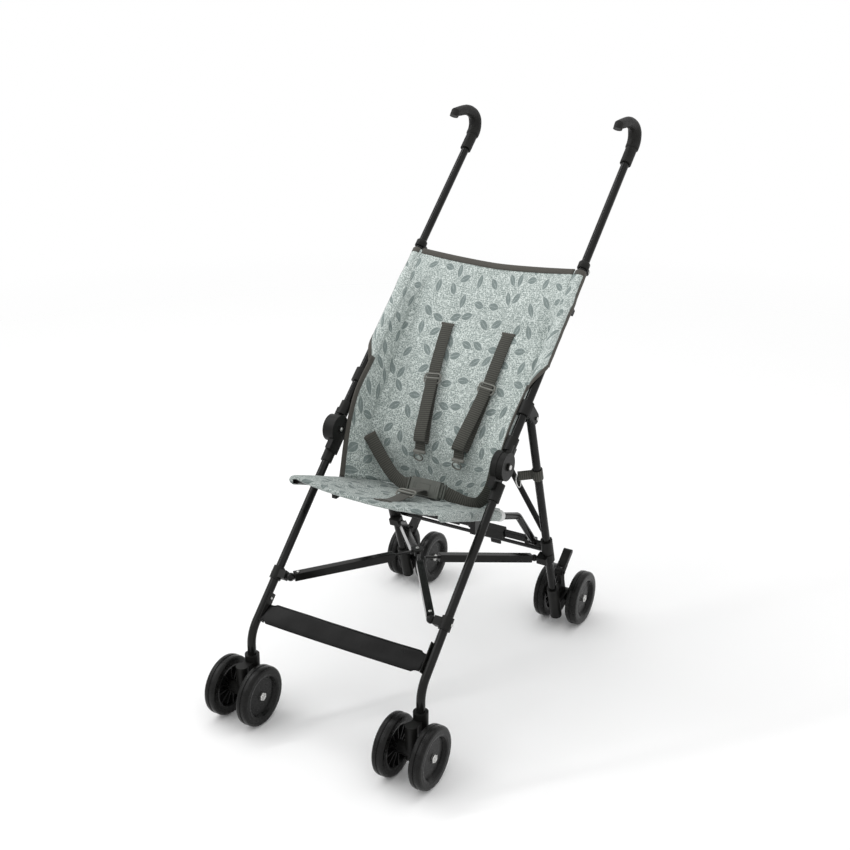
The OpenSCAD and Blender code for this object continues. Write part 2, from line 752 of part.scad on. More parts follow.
// Sleeve and foot pedal clipped over the right lock link
module lock_pedal() {
    link_y = bracket_d / 2 - 2 + gap;
    far_y = link_y + 2 * link_t + gap;
    low = -link_h / 2 - fit;
    high = link_h / 2 + fit;
    color(plastic_black) rear_frame() translate([-half, 0, -bracket_down - link_drop]) difference() {
        union() {
            block([pedal_in, link_y - 4, low - 3], [pedal_in + pedal_w, far_y + 4, high + 3]);
            block([pedal_in + 8, far_y + gap, low - lock_pedal_len], [pedal_in + 30, far_y + 4, low]);
        }
        block([pedal_in - 1, link_y - fit, low], [pedal_in + pedal_w + 1, far_y + fit, high]);
    }
}

// Flexible panel between the front legs with an end tab on each leg
module footrest() {
    edge = half - tube_d / 2 - gap;
    tab = 16;
    tab_lap = 2;
    inset = 4;
    low = -foot_t / 2 - inset;
    color(plastic_black) at_side(0, leg_foot - foot_down * [sin(leg_lean), cos(leg_lean)])
        rotate([foot_slope, 0, 0]) {
            block([-edge + tab - tab_lap, -foot_depth, low], [edge - tab + tab_lap, 0, low + foot_t]);
            for (s = [-1, 1])
                translate([s * (edge - tab / 2), 0, 0])
                    block([-tab / 2, -foot_depth + inset, low], [tab / 2, -inset, low + foot_t]);
        }
}

// Middle line of the seat back: v runs from the crease past the small of the back to the top hem
function back_middle(v) = let (
        top = knuckle + back_top * [sin(push_lean), cos(push_lean)] - [0, hem_sag],
        low = crease + [0, back_lift],
        small = knuckle + [lumbar_behind, -lumbar_drop]
    ) v < lumbar_share ? low + v / lumbar_share * (small - low)
    : small + (v - lumbar_share) / (1 - lumbar_share) * (top - small);

// Line along the front of a push tube
function back_edge(v) = knuckle + (edge_low + (back_top - edge_low) * v) * [sin(push_lean), cos(push_lean)]
    - edge_ahead * [cos(push_lean), -sin(push_lean)];

// Place on the seat back: u runs across from -1 to 1
function back_place(u, v) = let (
        fold = back_half / edge_x,
        w = abs(u) < fold ? wing_curve * pow(u / fold, 2)
            : wing_curve + (1 - wing_curve) * (abs(u) - fold) / (1 - fold)
    ) side_point(u * edge_x, back_middle(v) + w * (back_edge(v) - back_middle(v)));

// Thin closed sheet over a grid of places, thickened along one direction
module sheet(grid, thick) {
    rows = len(grid);
    cols = len(grid[0]);
    n = rows * cols;
    points = concat(
        [for (row = grid) for (p = row) p],
        [for (row = grid) for (p = row) p + thick]
    );
    faces = concat(
        [for (i = [0:rows - 2]) for (j = [0:cols - 2]) for (t = [0, 1])
            t == 0 ? [i * cols + j, i * cols + j + 1, (i + 1) * cols + j + 1]
                : [i * cols + j, (i + 1) * cols + j + 1, (i + 1) * cols + j]],
        [for (i = [0:rows - 2]) for (j = [0:cols - 2]) for (t = [0, 1])
            t == 0 ? [n + i * cols + j, n + (i + 1) * cols + j + 1, n + i * cols + j + 1]
                : [n + i * cols + j, n + (i + 1) * cols + j, n + (i + 1) * cols + j + 1]],
        [for (j = [0:cols - 2]) for (t = [0, 1])
            t == 0 ? [j, n + j, n + j + 1] : [j, n + j + 1, j + 1]],
        [for (j = [0:cols - 2]) let (k = (rows - 1) * cols + j) for (t = [0, 1])
            t == 0 ? [k, n + k + 1, n + k] : [k, k + 1, n + k + 1]],
        [for (i = [0:rows - 2]) let (k = i * cols, m = (i + 1) * cols) for (t = [0, 1])
            t == 0 ? [k, m, n + m] : [k, n + m, n + k]],
        [for (i = [0:rows - 2]) let (k = i * cols + cols - 1, m = (i + 1) * cols + cols - 1) for (t = [0, 1])
            t == 0 ? [k, n + m, m] : [k, n + k, n + m]]
    );
    polyhedron(points, faces, convexity = 6);
}

// Seat back with its hollow, side folds and sagging hem
module seat_back() {
    grid = [for (i = [0:back_rows]) [for (j = [0:back_columns])
        back_place(1 - 2 * j / back_columns, i / back_rows)]];
    color(cloth_green) sheet(grid, cloth_t * [0, 0.8, -0.4]);
}

function pan_place(u, v) = let (
        pan_x = rail_x - rail_d / 2 - gap,
        low = crease + pan_end,
        dip = pan_sag * (1 - u * u) * sin(180 * min(1, 1.15 - v))
    ) side_point(u * pan_x, seat_front + v * (low - seat_front) - [0, dip]);

// Seat pan hanging between the rails
module seat_pan() {
    rows = 8;
    columns = 10;
    grid = [for (i = [0:rows]) [for (j = [0:columns])
        pan_place(2 * j / columns - 1, i / rows)]];
    color(cloth_green) sheet(grid, cloth_t * [0, 0, 1]);
}

module shoulder_straps() {
    lift = 1.6;
    off = (web_t / 2 + lift) * [0, -0.81, 0.58];
    slot_u = 67 / edge_x;
    loop_u = 46 / edge_x;
    color(web_grey) for (s = [-1, 1]) {
        high = back_place(s * slot_u, 0.75) + off;
        low = back_place(s * loop_u, 0.3) + off;
        from_to(low, high) block([0, -web_w / 2, -web_t / 2], [norm(high - low), web_w / 2, web_t / 2]);
    }
}

module lap_straps() {
    color(web_grey) {
        for (s = [-1, 1]) {
            near = side_point(s * (buckle_w / 2 + 5.5), buckle_place);
            wide = back_place(s * 0.9, 0.12) + [-s * 4, -14, 0];
            from_to(near, wide) block([0, -web_t / 2, -web_w / 2], [norm(wide - near), web_t / 2, web_w / 2]);
        }
        at_side(0, buckle_place + [-30, -9.8])
            rotate([-20, 0, 0])
                block([-web_w / 2, -46, -web_t / 2], [web_w / 2, 0, web_t / 2]);
    }
}

module buckle() {
    color(web_grey) at_side(0, buckle_place) rotate([-30, 0, 0]) difference() {
        block([-buckle_w / 2, -buckle_t / 2, -buckle_h / 2], [buckle_w / 2, buckle_t / 2, buckle_h / 2]);
        block([-button_w / 2 - gap, -buckle_t / 2 - 1, -button_h / 2 - gap],
            [button_w / 2 + gap, -buckle_t / 2 + button_depth, button_h / 2 + gap]);
    }
}

module buckle_button() {
    color(plastic_black) at_side(0, buckle_place) rotate([-30, 0, 0])
        block([-button_w / 2, -buckle_t / 2 - 0.5, -button_h / 2],
            [button_w / 2, -buckle_t / 2 + button_depth - button_travel - gap, button_h / 2]);
}

front_leg(-1);  // front_leg_left
front_leg(1);  // front_leg_right
knuckle_base(-1);  // knuckle_base_left
knuckle_base(1);  // knuckle_base_right
leg_bracket(-1);  // leg_bracket_left
leg_bracket(1);  // leg_bracket_right
push_tube(-1);  // push_tube_left
push_tube(1);  // push_tube_right
knuckle_cap(-1);  // knuckle_cap_left
knuckle_cap(1);  // knuckle_cap_right
leg_clamp(-1);  // leg_clamp_left
leg_clamp(1);  // leg_clamp_right
top_bracket(-1);  // top_bracket_left
top_bracket(1);  // top_bracket_right
handle(-1);  // handle_left
handle(1);  // handle_right
caster(-1);  // caster_left
caster(1);  // caster_right
front_axle(-1);  // front_axle_left
front_axle(1);  // front_axle_right
wheel(-1, [0, wheel_r], 1);  // wheel_front_left_outer
wheel(-1, [0, wheel_r], -1);  // wheel_front_left_inner
wheel(1, [0, wheel_r], 1);  // wheel_front_right_outer
wheel(1, [0, wheel_r], -1);  // wheel_front_right_inner
wheel(-1, rear_axle, 1);  // wheel_rear_left_outer
wheel(-1, rear_axle, -1);  // wheel_rear_left_inner
wheel(1, rear_axle, 1);  // wheel_rear_right_outer
wheel(1, rear_axle, -1);  // wheel_rear_right_inner
rear_leg(-1);  // rear_leg_left
rear_leg(1);  // rear_leg_right
rear_bracket(-1);  // rear_bracket_left
rear_bracket(1);  // rear_bracket_right
rear_housing(-1);  // rear_housing_left
rear_housing(1);  // rear_housing_right
back_axle(-1);  // rear_axle_left
back_axle(1);  // rear_axle_right
brake_pedal(-1);  // brake_pedal_left
brake_pedal(1);  // brake_pedal_right
brace_arm(-1);  // brace_arm_left
brace_arm(1);  // brace_arm_right
brace_channel(-1);  // brace_channel_left
brace_channel(1);  // brace_channel_right
brace_runner(-1);  // brace_runner_left
brace_runner(1);  // brace_runner_right
brace_hub();
rear_cross(-1, cross_back);  // rear_cross_near
rear_cross(1, cross_back + cross_gap);  // rear_cross_far
seat_rail(-1);  // seat_rail_left
seat_rail(1);  // seat_rail_right
lock_link(-1);  // lock_link_left
lock_link(1);  // lock_link_right
lock_pedal();
footrest();
seat_back();
seat_pan();
shoulder_straps();
lap_straps();
buckle();
buckle_button();
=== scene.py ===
"""Looks of the umbrella stroller: studio, materials, seat cloth, harness and small fittings.

Lengths inside the functions are millimetres: x from the middle, y back from the front axle,
z up from the floor. The studio, the materials and the cloth's UVs are in metres.
"""
import bpy
import bmesh
import json
import math
from mathutils import Matrix, Vector, noise


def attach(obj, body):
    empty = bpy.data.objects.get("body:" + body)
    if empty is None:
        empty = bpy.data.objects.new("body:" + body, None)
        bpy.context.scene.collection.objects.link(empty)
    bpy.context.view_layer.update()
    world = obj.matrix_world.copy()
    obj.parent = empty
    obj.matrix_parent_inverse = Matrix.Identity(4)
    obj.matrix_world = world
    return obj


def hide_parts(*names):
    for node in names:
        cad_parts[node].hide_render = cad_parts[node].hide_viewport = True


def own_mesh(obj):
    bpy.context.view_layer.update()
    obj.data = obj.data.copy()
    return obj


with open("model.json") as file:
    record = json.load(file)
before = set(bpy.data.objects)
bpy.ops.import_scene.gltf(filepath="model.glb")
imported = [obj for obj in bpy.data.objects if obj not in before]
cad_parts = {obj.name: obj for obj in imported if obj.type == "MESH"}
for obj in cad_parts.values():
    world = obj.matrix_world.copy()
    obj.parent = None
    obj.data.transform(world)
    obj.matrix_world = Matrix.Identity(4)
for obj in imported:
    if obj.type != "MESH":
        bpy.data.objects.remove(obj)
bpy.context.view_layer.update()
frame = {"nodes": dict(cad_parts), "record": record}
NODES = frame["nodes"]

MM = 0.001
SIDES = ((-1, "left"), (1, "right"))
ACROSS = Vector((1, 0, 0))

# Sizes of the frame, from the part's source
AXLE_TO_ORIGIN = 413.42
HALF = 180.0
WHEELBASE = 626.0
WHEEL_R = 56.5
TYRE_W = 24.0
TWIN_SPACING = 72.0
DISH_DEPTH = 7.0
KNUCKLE_BACK = 318.0
KNUCKLE_UP = 464.0
PUSH_LEAN = math.radians(48)
LEG_LEAN = math.radians(45.5)
LEG_DROP = 16.0
REAR_LEAN = math.radians(17.8)
CLAMP_UP = 118.5
CLAMP_DROP = 31.0
BRACKET_DOWN = 318.0
RUNNER_DOWN = 352.0
BRACE_DOWN = 298.0
HUB_BEHIND = 5.0
BAR_HIGH = 15.0
CROSS_UP = 349.0
RAIL_INSET = 30.0
RAIL_R = 7.0
BUCKLE_TILT = math.radians(-30)

# Cloth and webbing
CLOTH_T = 1.8
WEB_W = 25.0
WEB_T = 1.8


def at(x, y, z):
    """Place in the frame's metres from millimetres."""
    return Vector((x, y - AXLE_TO_ORIGIN, z)) * MM


def mix(a, b, t):
    return a + (b - a) * t


def shares(count):
    """Equal steps from 0 to 1."""
    return [k / count for k in range(count + 1)]


def turns(count):
    """Equal steps once round, in radians."""
    return [math.tau * k / count for k in range(count)]


def ease(t, low, high):
    """Smooth rise from 0 at low to 1 at high."""
    t = min(1.0, max(0.0, (t - low) / (high - low)))
    return t * t * (3 - 2 * t)


def bell(distance, width):
    """Smooth bump of height 1 about distance 0."""
    return math.exp(-(distance / width) ** 2)


def ripple(u, v, height, waves_u, waves_v, seed):
    """Random folds up to a height, with waves to a unit of u and of v."""
    return height * noise.noise((u * waves_u, v * waves_v, seed))


def through(points, t):
    """Point on a smooth curve through equally spaced points, t from 0 to 1."""
    n = len(points) - 1
    k = min(n - 1, int(max(0.0, t) * n))
    f = min(1.0, max(0.0, t)) * n - k
    p1, p2 = Vector(points[k]), Vector(points[k + 1])
    p0 = Vector(points[k - 1]) if k > 0 else 2 * p1 - p2
    p3 = Vector(points[k + 2]) if k + 2 <= n else 2 * p2 - p1
    return 0.5 * (2 * p1 + (p2 - p0) * f + (2 * p0 - 5 * p1 + 4 * p2 - p3) * f * f
                  + (3 * p1 - p0 - 3 * p2 + p3) * f ** 3)


def run_length(points):
    return sum((b - a).length for a, b in zip(points, points[1:]))


# Places on the frame in the side view, as (y, z)

def from_knuckle(behind, above):
    return (KNUCKLE_BACK + behind, KNUCKLE_UP + above)


def push_at(s, front=0.0):
    """Place s along the push tube from the knuckle, moved forward of its axis."""
    return from_knuckle(s * math.sin(PUSH_LEAN) - front * math.cos(PUSH_LEAN),
                        s * math.cos(PUSH_LEAN) + front * math.sin(PUSH_LEAN))


def leg_at(s):
    """Place s down the front leg from beside the knuckle."""
    return from_knuckle(LEG_DROP * math.cos(LEG_LEAN) - s * math.sin(LEG_LEAN),
                        -LEG_DROP * math.sin(LEG_LEAN) - s * math.cos(LEG_LEAN))


def rear_at(s, back=0.0):
    """Place s down the rear leg from its pivot, moved back from its axis."""
    return (REAR_PIVOT[0] + s * math.sin(REAR_LEAN) + back * math.cos(REAR_LEAN),
            REAR_PIVOT[1] - s * math.cos(REAR_LEAN) + back * math.sin(REAR_LEAN))


KNUCKLE = from_knuckle(0.0, 0.0)
REAR_PIVOT = push_at(CLAMP_UP, -CLAMP_DROP)
BRACE_UP = leg_at(BRACE_DOWN)[1]
CREASE = from_knuckle(95.0, -139.0)
LUMBAR = from_knuckle(100.0, -49.0)
SEAT_FRONT = from_knuckle(-170.0, -37.0)
RAIL_BEND = from_knuckle(132.0, -161.0)
RAIL_X = HALF - RAIL_INSET
BUCKLE = from_knuckle(39.0, -100.6)
PUSH_WAY = Vector((0, math.sin(PUSH_LEAN), math.cos(PUSH_LEAN)))
PUSH_BACK = Vector((0, math.cos(PUSH_LEAN), -math.sin(PUSH_LEAN)))
REAR_WAY = Vector((0, math.sin(REAR_LEAN), -math.cos(REAR_LEAN)))


# Materials

# Pitches of bars, leaves and threads, and half sizes of a leaf
BAR_PITCH = 0.0041888
LEAF_PITCH = 0.039
LEAF_HALF = (0.0145, 0.0068)
CLOTH_THREAD = 0.0009
LINING_THREAD = 0.0008976
TAPE_THREAD = 0.0011


class Shader:
    """A material's node tree with short calls to add and join nodes."""

    def __init__(self, name):
        self.mat = bpy.data.materials.new(name)
        self.mat.use_nodes = True
        self.tree = self.mat.node_tree
        self.out = self.tree.nodes["Principled BSDF"]

    def add(self, kind, inputs=None, **settings):
        node = self.tree.nodes.new(kind)
        for key, value in settings.items():
            setattr(node, key, value)
        for key, value in (inputs or {}).items():
            self.put(node.inputs[key], value)
        return node

    def put(self, socket, value):
        if isinstance(value, bpy.types.NodeSocket):
            self.tree.links.new(value, socket)
        else:
            socket.default_value = value

    def math(self, operation, a, b=0.0):
        node = self.add("ShaderNodeMath", {0: a, 1: b}, operation=operation)
        return node.outputs[0]

    def blend(self, factor, a, b):
        node = self.add("ShaderNodeMix", {0: factor, 6: a, 7: b}, data_type="RGBA")
        return node.outputs[2]

    def times(self, a, b):
        return self.math("MULTIPLY", a, b)

    def wave(self, value, pitch):
        """Sine along a length, with its pitch in metres."""
        return self.math("SINE", self.times(value, math.tau / pitch))

    def ramp(self, value, low, high, to_low=0.0, to_high=1.0):
        node = self.add("ShaderNodeMapRange", {0: value, 1: low, 2: high, 3: to_low, 4: to_high})
        return node.outputs[0]

    def noise(self, where, scale, detail=3.0, rough=0.55):
        node = self.add("ShaderNodeTexNoise", {"Vector": where, "Scale": scale, "Detail": detail,
                                               "Roughness": rough})
        return node.outputs["Fac"]

    def bump(self, height, depth, strength=1.0, normal=None):
        node = self.add("ShaderNodeBump", {"Height": height, "Distance": depth, "Strength": strength})
        if normal is not None:
            self.put(node.inputs["Normal"], normal)
        return node.outputs["Normal"]

    def finish(self, **values):
        for key, value in values.items():
            self.put(self.out.inputs[key.replace("_", " ")], value)
        return self.mat


def rgb(r, g, b):
    return (r, g, b, 1.0)


def object_space(s):
    return s.add("ShaderNodeTexCoord").outputs["Object"]


def uv_space(s):
    return s.add("ShaderNodeUVMap", uv_map="cloth").outputs["UV"]


def painted_steel():
    """Black powder coat: fine orange peel, softened edges and a slightly rubbed sheen."""
    s = Shader("frame_black")
    where = object_space(s)
    peel = s.noise(where, 1400.0, 2.0)
    round_edge = s.add("ShaderNodeBevel", {"Radius": 0.0018}, samples=6).outputs[0]
    rub = s.noise(where, 26.0, 4.0)
    colour = s.blend(s.ramp(rub, 0.35, 0.75), rgb(0.005, 0.005, 0.0046), rgb(0.010, 0.010, 0.0094))
    return s.finish(Base_Color=colour, Roughness=s.ramp(rub, 0.3, 0.75, 0.10, 0.20),
                    Normal=s.bump(peel, 0.000004, 0.25, round_edge), Specular_IOR_Level=0.18)


def moulded_plastic(name, dark, light, rough, grain):
    """Moulded plastic with a spark-eroded grain and faint flow marks."""
    s = Shader(name)
    where = object_space(s)
    cells = s.add("ShaderNodeTexVoronoi", {"Vector": where, "Scale": grain}).outputs["Distance"]
    flow = s.noise(where, 34.0, 3.0)
    colour = s.blend(s.ramp(flow, 0.3, 0.7), dark, light)
    return s.finish(Base_Color=colour, Roughness=s.ramp(flow, 0.3, 0.7, rough - 0.06, rough + 0.07),
                    Specular_IOR_Level=0.15, Normal=s.bump(cells, 0.00008, 0.4))


def grip_rubber():
    """Soft grip: raised bars across the hand and a pebble grain between them."""
    s = Shader("grip_rubber")
    where = object_space(s)
    pebble = s.add("ShaderNodeTexVoronoi", {"Vector": where, "Scale": 620.0}).outputs["Distance"]
    split = s.add("ShaderNodeSeparateXYZ", {0: where})
    along = s.math("ADD", s.times(split.outputs[1], 0.92), s.times(split.outputs[2], 0.4))
    bars = s.wave(along, BAR_PITCH)
    height = s.math("ADD", s.ramp(bars, -0.2, 0.6), s.times(pebble, 0.35))
    tone = s.noise(where, 60.0, 3.0)
    colour = s.blend(s.ramp(tone, 0.3, 0.75), rgb(0.007, 0.0068, 0.0064), rgb(0.017, 0.0165, 0.0155))
    return s.finish(Base_Color=colour, Roughness=s.ramp(tone, 0.3, 0.7, 0.42, 0.60),
                    Specular_IOR_Level=0.15, Normal=s.bump(height, 0.00035, 0.45))


def wheel_plastic():
    """Black tyre and dish with a fine grain and a little scuffing."""
    s = Shader("wheel_black")
    where = object_space(s)
    scuff = s.noise(where, 90.0, 6.0, 0.7)
    colour = s.blend(s.ramp(scuff, 0.45, 0.8), rgb(0.005, 0.005, 0.0048), rgb(0.013, 0.013, 0.0124))
    return s.finish(Base_Color=colour, Roughness=s.ramp(scuff, 0.35, 0.8, 0.22, 0.46),
                    Specular_IOR_Level=0.16, Normal=s.bump(s.noise(where, 700.0, 2.0), 0.000015, 0.25))


def plated_steel():
    """Zinc-plated steel with a fine grain."""
    s = Shader("bright_steel")
    where = object_space(s)
    grain = s.noise(where, 420.0, 4.0)
    colour = s.blend(s.ramp(grain, 0.3, 0.7), rgb(0.50, 0.50, 0.49), rgb(0.68, 0.68, 0.66))
    return s.finish(Base_Color=colour, Metallic=1.0, Roughness=s.ramp(grain, 0.3, 0.7, 0.20, 0.36),
                    Normal=s.bump(grain, 0.00004, 0.3))


def leaf(s, place, turn, half_long, half_wide):
    """A pointed leaf with a paler midrib about a cell's middle, turned by an angle, and its outline."""
    split = s.add("ShaderNodeSeparateXYZ", {0: place})
    c, d = s.math("COSINE", turn), s.math("SINE", turn)
    x = s.math("ADD", s.times(split.outputs[0], c), s.times(split.outputs[1], d))
    y = s.math("SUBTRACT", s.times(split.outputs[1], c), s.times(split.outputs[0], d))
    y = s.math("ABSOLUTE", y)
    bow = s.math("POWER", s.math("ABSOLUTE", s.math("DIVIDE", x, half_long)), 2.0)
    room = s.math("SUBTRACT", s.times(s.math("SUBTRACT", 1.0, bow), half_wide), y)
    body = s.ramp(room, -0.0002, 0.0003)
    vein = s.ramp(y, 0.0003, 0.0009)
    blade = s.times(body, s.math("ADD", s.times(vein, 0.45), 0.55))
    stalk = s.times(s.ramp(y, 0.0004, 0.0008, 1.0, 0.0),
                    s.times(s.ramp(x, half_long * 1.45, half_long * 1.4), s.ramp(x, 0.0, 0.001)))
    return s.math("MAXIMUM", blade, s.times(stalk, 0.8)), s.ramp(room, -0.0026, -0.0010)


def weave(s, where, thread):
    """Height of a plain weave, with its thread's pitch in metres."""
    split = s.add("ShaderNodeSeparateXYZ", {0: where})
    return s.times(s.wave(split.outputs[0], thread), s.wave(split.outputs[1], thread))


def printed_cloth(name, painted_shade):
    """Plain-weave seat cloth: squiggled grey-green ground with scattered leaves, every colour scaled by a
    painted shade factor.
    """
    def tone(*parts):
        return rgb(*[painted_shade * part for part in parts])
    s = Shader(name)
    where = uv_space(s)
    cells = s.add("ShaderNodeTexVoronoi", {"Vector": where, "Scale": 1 / LEAF_PITCH, "Randomness": 0.6},
                  voronoi_dimensions="2D")
    centre = s.add("ShaderNodeVectorMath", {0: where, 1: cells.outputs["Position"]}, operation="SUBTRACT")
    chance = s.add("ShaderNodeSeparateColor", {0: cells.outputs["Color"]})
    turn = s.times(chance.outputs[0], math.tau)
    leaves, outline = leaf(s, centre.outputs[0], turn, *LEAF_HALF)
    curl = s.math("ABSOLUTE", s.math("SUBTRACT", s.noise(where, 250.0, 1.0), 0.5))
    lines = s.ramp(curl, 0.015, 0.085, 1.0, 0.0)
    ground = s.blend(lines, tone(0.255, 0.300, 0.285), tone(0.72, 0.775, 0.745))
    ground = s.blend(s.times(outline, 0.55), ground, tone(0.60, 0.65, 0.625))
    tint = s.blend(s.times(lines, 0.30), tone(0.140, 0.178, 0.172), tone(0.31, 0.362, 0.352))
    printed = s.blend(s.times(leaves, 0.92), ground, tint)
    worn = s.noise(where, 9.0, 4.0)
    colour = s.blend(s.ramp(worn, 0.25, 0.75, 0.0, 0.20), printed, tone(0.31, 0.36, 0.352))
    normal = s.bump(s.noise(where, 38.0, 4.0), 0.0016, 0.45)
    return s.finish(Base_Color=colour, Roughness=0.82, Specular_IOR_Level=0.2, Sheen_Weight=0.08,
                    Normal=s.bump(weave(s, where, CLOTH_THREAD), 0.00012, 0.35, normal))


def plain_lining():
    """Undyed backing of the cloth, with its weave."""
    s = Shader("cloth_lining")
    where = uv_space(s)
    tone = s.noise(where, 120.0, 3.0)
    colour = s.blend(tone, rgb(0.56, 0.57, 0.56), rgb(0.74, 0.75, 0.74))
    return s.finish(Base_Color=colour, Roughness=0.85, Specular_IOR_Level=0.2,
                    Normal=s.bump(weave(s, where, LINING_THREAD), 0.00012, 0.35))


def webbing(name, dark, light, rib):
    """Woven tape: ribs across its length, with painted shade darkening the grooves between them, and a fine
    thread along it.
    """
    s = Shader(name)
    where = uv_space(s)
    split = s.add("ShaderNodeSeparateXYZ", {0: where})
    ribs = s.wave(split.outputs[1], rib)
    cross = s.wave(split.outputs[0], TAPE_THREAD)
    height = s.math("ADD", ribs, s.times(cross, 0.3))
    fuzz = s.noise(where, 240.0, 3.0)
    # Painted shade: the colour darkens with the ribs' height into the grooves, with random fuzz on top
    tone = s.math("ADD", s.ramp(height, -1.1, 0.9, 0.0, 0.7), s.times(fuzz, 0.35))
    return s.finish(Base_Color=s.blend(tone, dark, light), Roughness=0.78, Sheen_Weight=0.1,
                    Specular_IOR_Level=0.15, Normal=s.bump(height, 0.00022, 0.5))


def panel_vinyl():
    """Black coated panel with slow ripples and a fine grain."""
    s = Shader("footrest_panel")
    where = uv_space(s)
    slow = s.noise(where, 22.0, 3.0)
    fine = s.noise(where, 900.0, 2.0)
    colour = s.blend(s.ramp(slow, 0.3, 0.7), rgb(0.003, 0.003, 0.003), rgb(0.006, 0.006, 0.006))
    normal = s.bump(slow, 0.0012, 0.4)
    return s.finish(Base_Color=colour, Roughness=s.ramp(slow, 0.3, 0.7, 0.26, 0.38),
                    Specular_IOR_Level=0.10, Normal=s.bump(fine, 0.00006, 0.3, normal))


PAINT = painted_steel()
PLASTIC = moulded_plastic("black_plastic", rgb(0.006, 0.006, 0.0056), rgb(0.012, 0.012, 0.0112), 0.40, 900.0)
BUCKLE_GREY = moulded_plastic("buckle_grey", rgb(0.098, 0.103, 0.092), rgb(0.135, 0.14, 0.126), 0.46, 1100.0)
GRIP = grip_rubber()
WHEEL = wheel_plastic()
STEEL = plated_steel()
CLOTH = printed_cloth("seat_cloth", 1.0)
# The seat pan's copy of the cloth is darkened to 0.72 as painted shade
PAN_CLOTH_PAINTED_SHADE = printed_cloth("seat_pan_cloth", 0.72)
LINING = plain_lining()
SLIDE_GREY = moulded_plastic("slide_grey", rgb(0.15, 0.152, 0.136), rgb(0.205, 0.205, 0.187), 0.38, 1100.0)
WEB = webbing("webbing_taupe", rgb(0.024, 0.024, 0.0205), rgb(0.088, 0.087, 0.076), 0.0042)
BIND = webbing("binding_taupe", rgb(0.050, 0.047, 0.041), rgb(0.105, 0.099, 0.087), 0.0012)
PANEL = panel_vinyl()
SLOT_MATERIALS = {"frame_paint": PAINT, "black_plastic": PLASTIC, "wheel_black": WHEEL, "bright_steel": STEEL,
                  "seat_cloth": CLOTH, "webbing": WEB, "buckle_grey": BUCKLE_GREY, "footrest_panel": PANEL,
                  "grip_rubber": GRIP}


# Mesh makers

def link_object(name, data):
    """Object with its data, put into the scene."""
    obj = bpy.data.objects.new(name, data)
    bpy.context.scene.collection.objects.link(obj)
    return obj


def new_piece(name, bm, material, soft_shade=True):
    """Piece of the part from a bmesh, with its faces turned outward, one material."""
    mesh = bpy.data.meshes.new(name)
    bmesh.ops.recalc_face_normals(bm, faces=bm.faces)
    for face in bm.faces:
        face.smooth = soft_shade
    bm.to_mesh(mesh)
    bm.free()
    mesh.materials.append(material)
    obj = link_object(name, mesh)
    return obj


def thicken(obj, thick, offset=-1.0):
    """Gives an open sheet its thickness in millimetres for good, and returns its area before that."""
    cut = sum(face.area for face in obj.data.polygons)
    solid = obj.modifiers.new("solidify", "SOLIDIFY")
    solid.thickness = thick * MM
    solid.offset = offset
    bpy.context.view_layer.update()
    graph = bpy.context.evaluated_depsgraph_get()
    mesh = bpy.data.meshes.new_from_object(obj.evaluated_get(graph), preserve_all_data_layers=True,
                                           depsgraph=graph)
    obj.modifiers.clear()
    obj.data = mesh
    return cut


def grid_mesh(place, columns, rows, uv_box):
    """Open surface over place(u, v), u and v from 0 to 1; its UVs fill a box of left, low, width, height."""
    left, base, wide, tall = uv_box
    bm = bmesh.new()
    layer = bm.loops.layers.uv.new("cloth")
    dots, uvs = {}, {}
    for i, v in enumerate(shares(rows)):
        for j, u in enumerate(shares(columns)):
            dots[i, j] = bm.verts.new(place(u, v))
            uvs[dots[i, j]] = (left + u * wide, base + v * tall)
    for i in range(rows):
        for j in range(columns):
            face = bm.faces.new((dots[i, j], dots[i, j + 1], dots[i + 1, j + 1], dots[i + 1, j]))
            for loop in face.loops:
                loop[layer].uv = uvs[loop.vert]
    return bm


def sweep(name, points, sides, profile, material, closed=False, uv_shift=WEB_W * MM):
    """Solid along points: profile pairs run along each side direction and across it."""
    bm = bmesh.new()
    layer = bm.loops.layers.uv.new("cloth")
    count, m = len(points), len(profile)
    rings, lengths, run = [], [], 0.0
    for k, p in enumerate(points):
        if k:
            run += (p - points[k - 1]).length
        lengths.append(run)
        ahead = points[(k + 1) % count] if closed or k + 1 < count else p
        behind = points[k - 1] if closed or k else p
        along = (ahead - behind).normalized()
        side = (sides[k] - along * sides[k].dot(along)).normalized()
        over = along.cross(side)
        rings.append([bm.verts.new(p + side * a + over * b) for a, b in profile])
    for k in range(count if closed else count - 1):
        n = (k + 1) % count
        far = lengths[n] if n else run + (points[0] - points[-1]).length
        for j in range(m):
            q = (j + 1) % m
            face = bm.faces.new((rings[k][j], rings[k][q], rings[n][q], rings[n][j]))
            for loop, (a, y) in zip(face.loops, ((j, lengths[k]), (q, lengths[k]), (q, far), (j, far))):
                loop[layer].uv = (profile[a][0] + uv_shift, y)
    if not closed:
        for ring in (rings[0], rings[-1]):
            face = bm.faces.new(ring)
            for loop in face.loops:
                loop[layer].uv = (uv_shift, 0.0)
    return new_piece(name, bm, material)


def tape_profile(width, thick):
    """Flat strip with rounded edges, in metres from millimetres."""
    w, t = width * MM / 2, thick * MM / 2
    flat = t * 0.4
    return [(-w, -flat), (-w + t, -t), (w - t, -t), (w, -flat),
            (w, flat), (w - t, t), (-w + t, t), (-w, flat)]


def round_profile(d, count=12):
    """Circle in metres from a diameter in millimetres."""
    r = d * MM / 2
    return [(r * math.cos(t), r * math.sin(t)) for t in turns(count)]


def strip(name, points, sides, width, thick, material=BIND, slot="webbing"):
    """Flat strip along points, such as the binding of an edge."""
    return sweep(name, points, sides, tape_profile(width, thick), material)


def tape(name, places, sides, width=WEB_W, thick=WEB_T, steps=40, material=WEB):
    """Webbing through millimetre places; sides are width directions at equal shares of the run."""
    points = [at(*through(places, t)) for t in shares(steps)]
    across = [through(sides, t).normalized() for t in shares(steps)]
    return strip(name, points, across, width, thick, material)


def wire(name, points, d, material, hint=Vector((0.3, 0.2, 0.9))):
    """Closed ring of round wire; the hint is any direction out of line with it."""
    return sweep(name, points, [hint] * len(points), round_profile(d), material, True, d * MM)


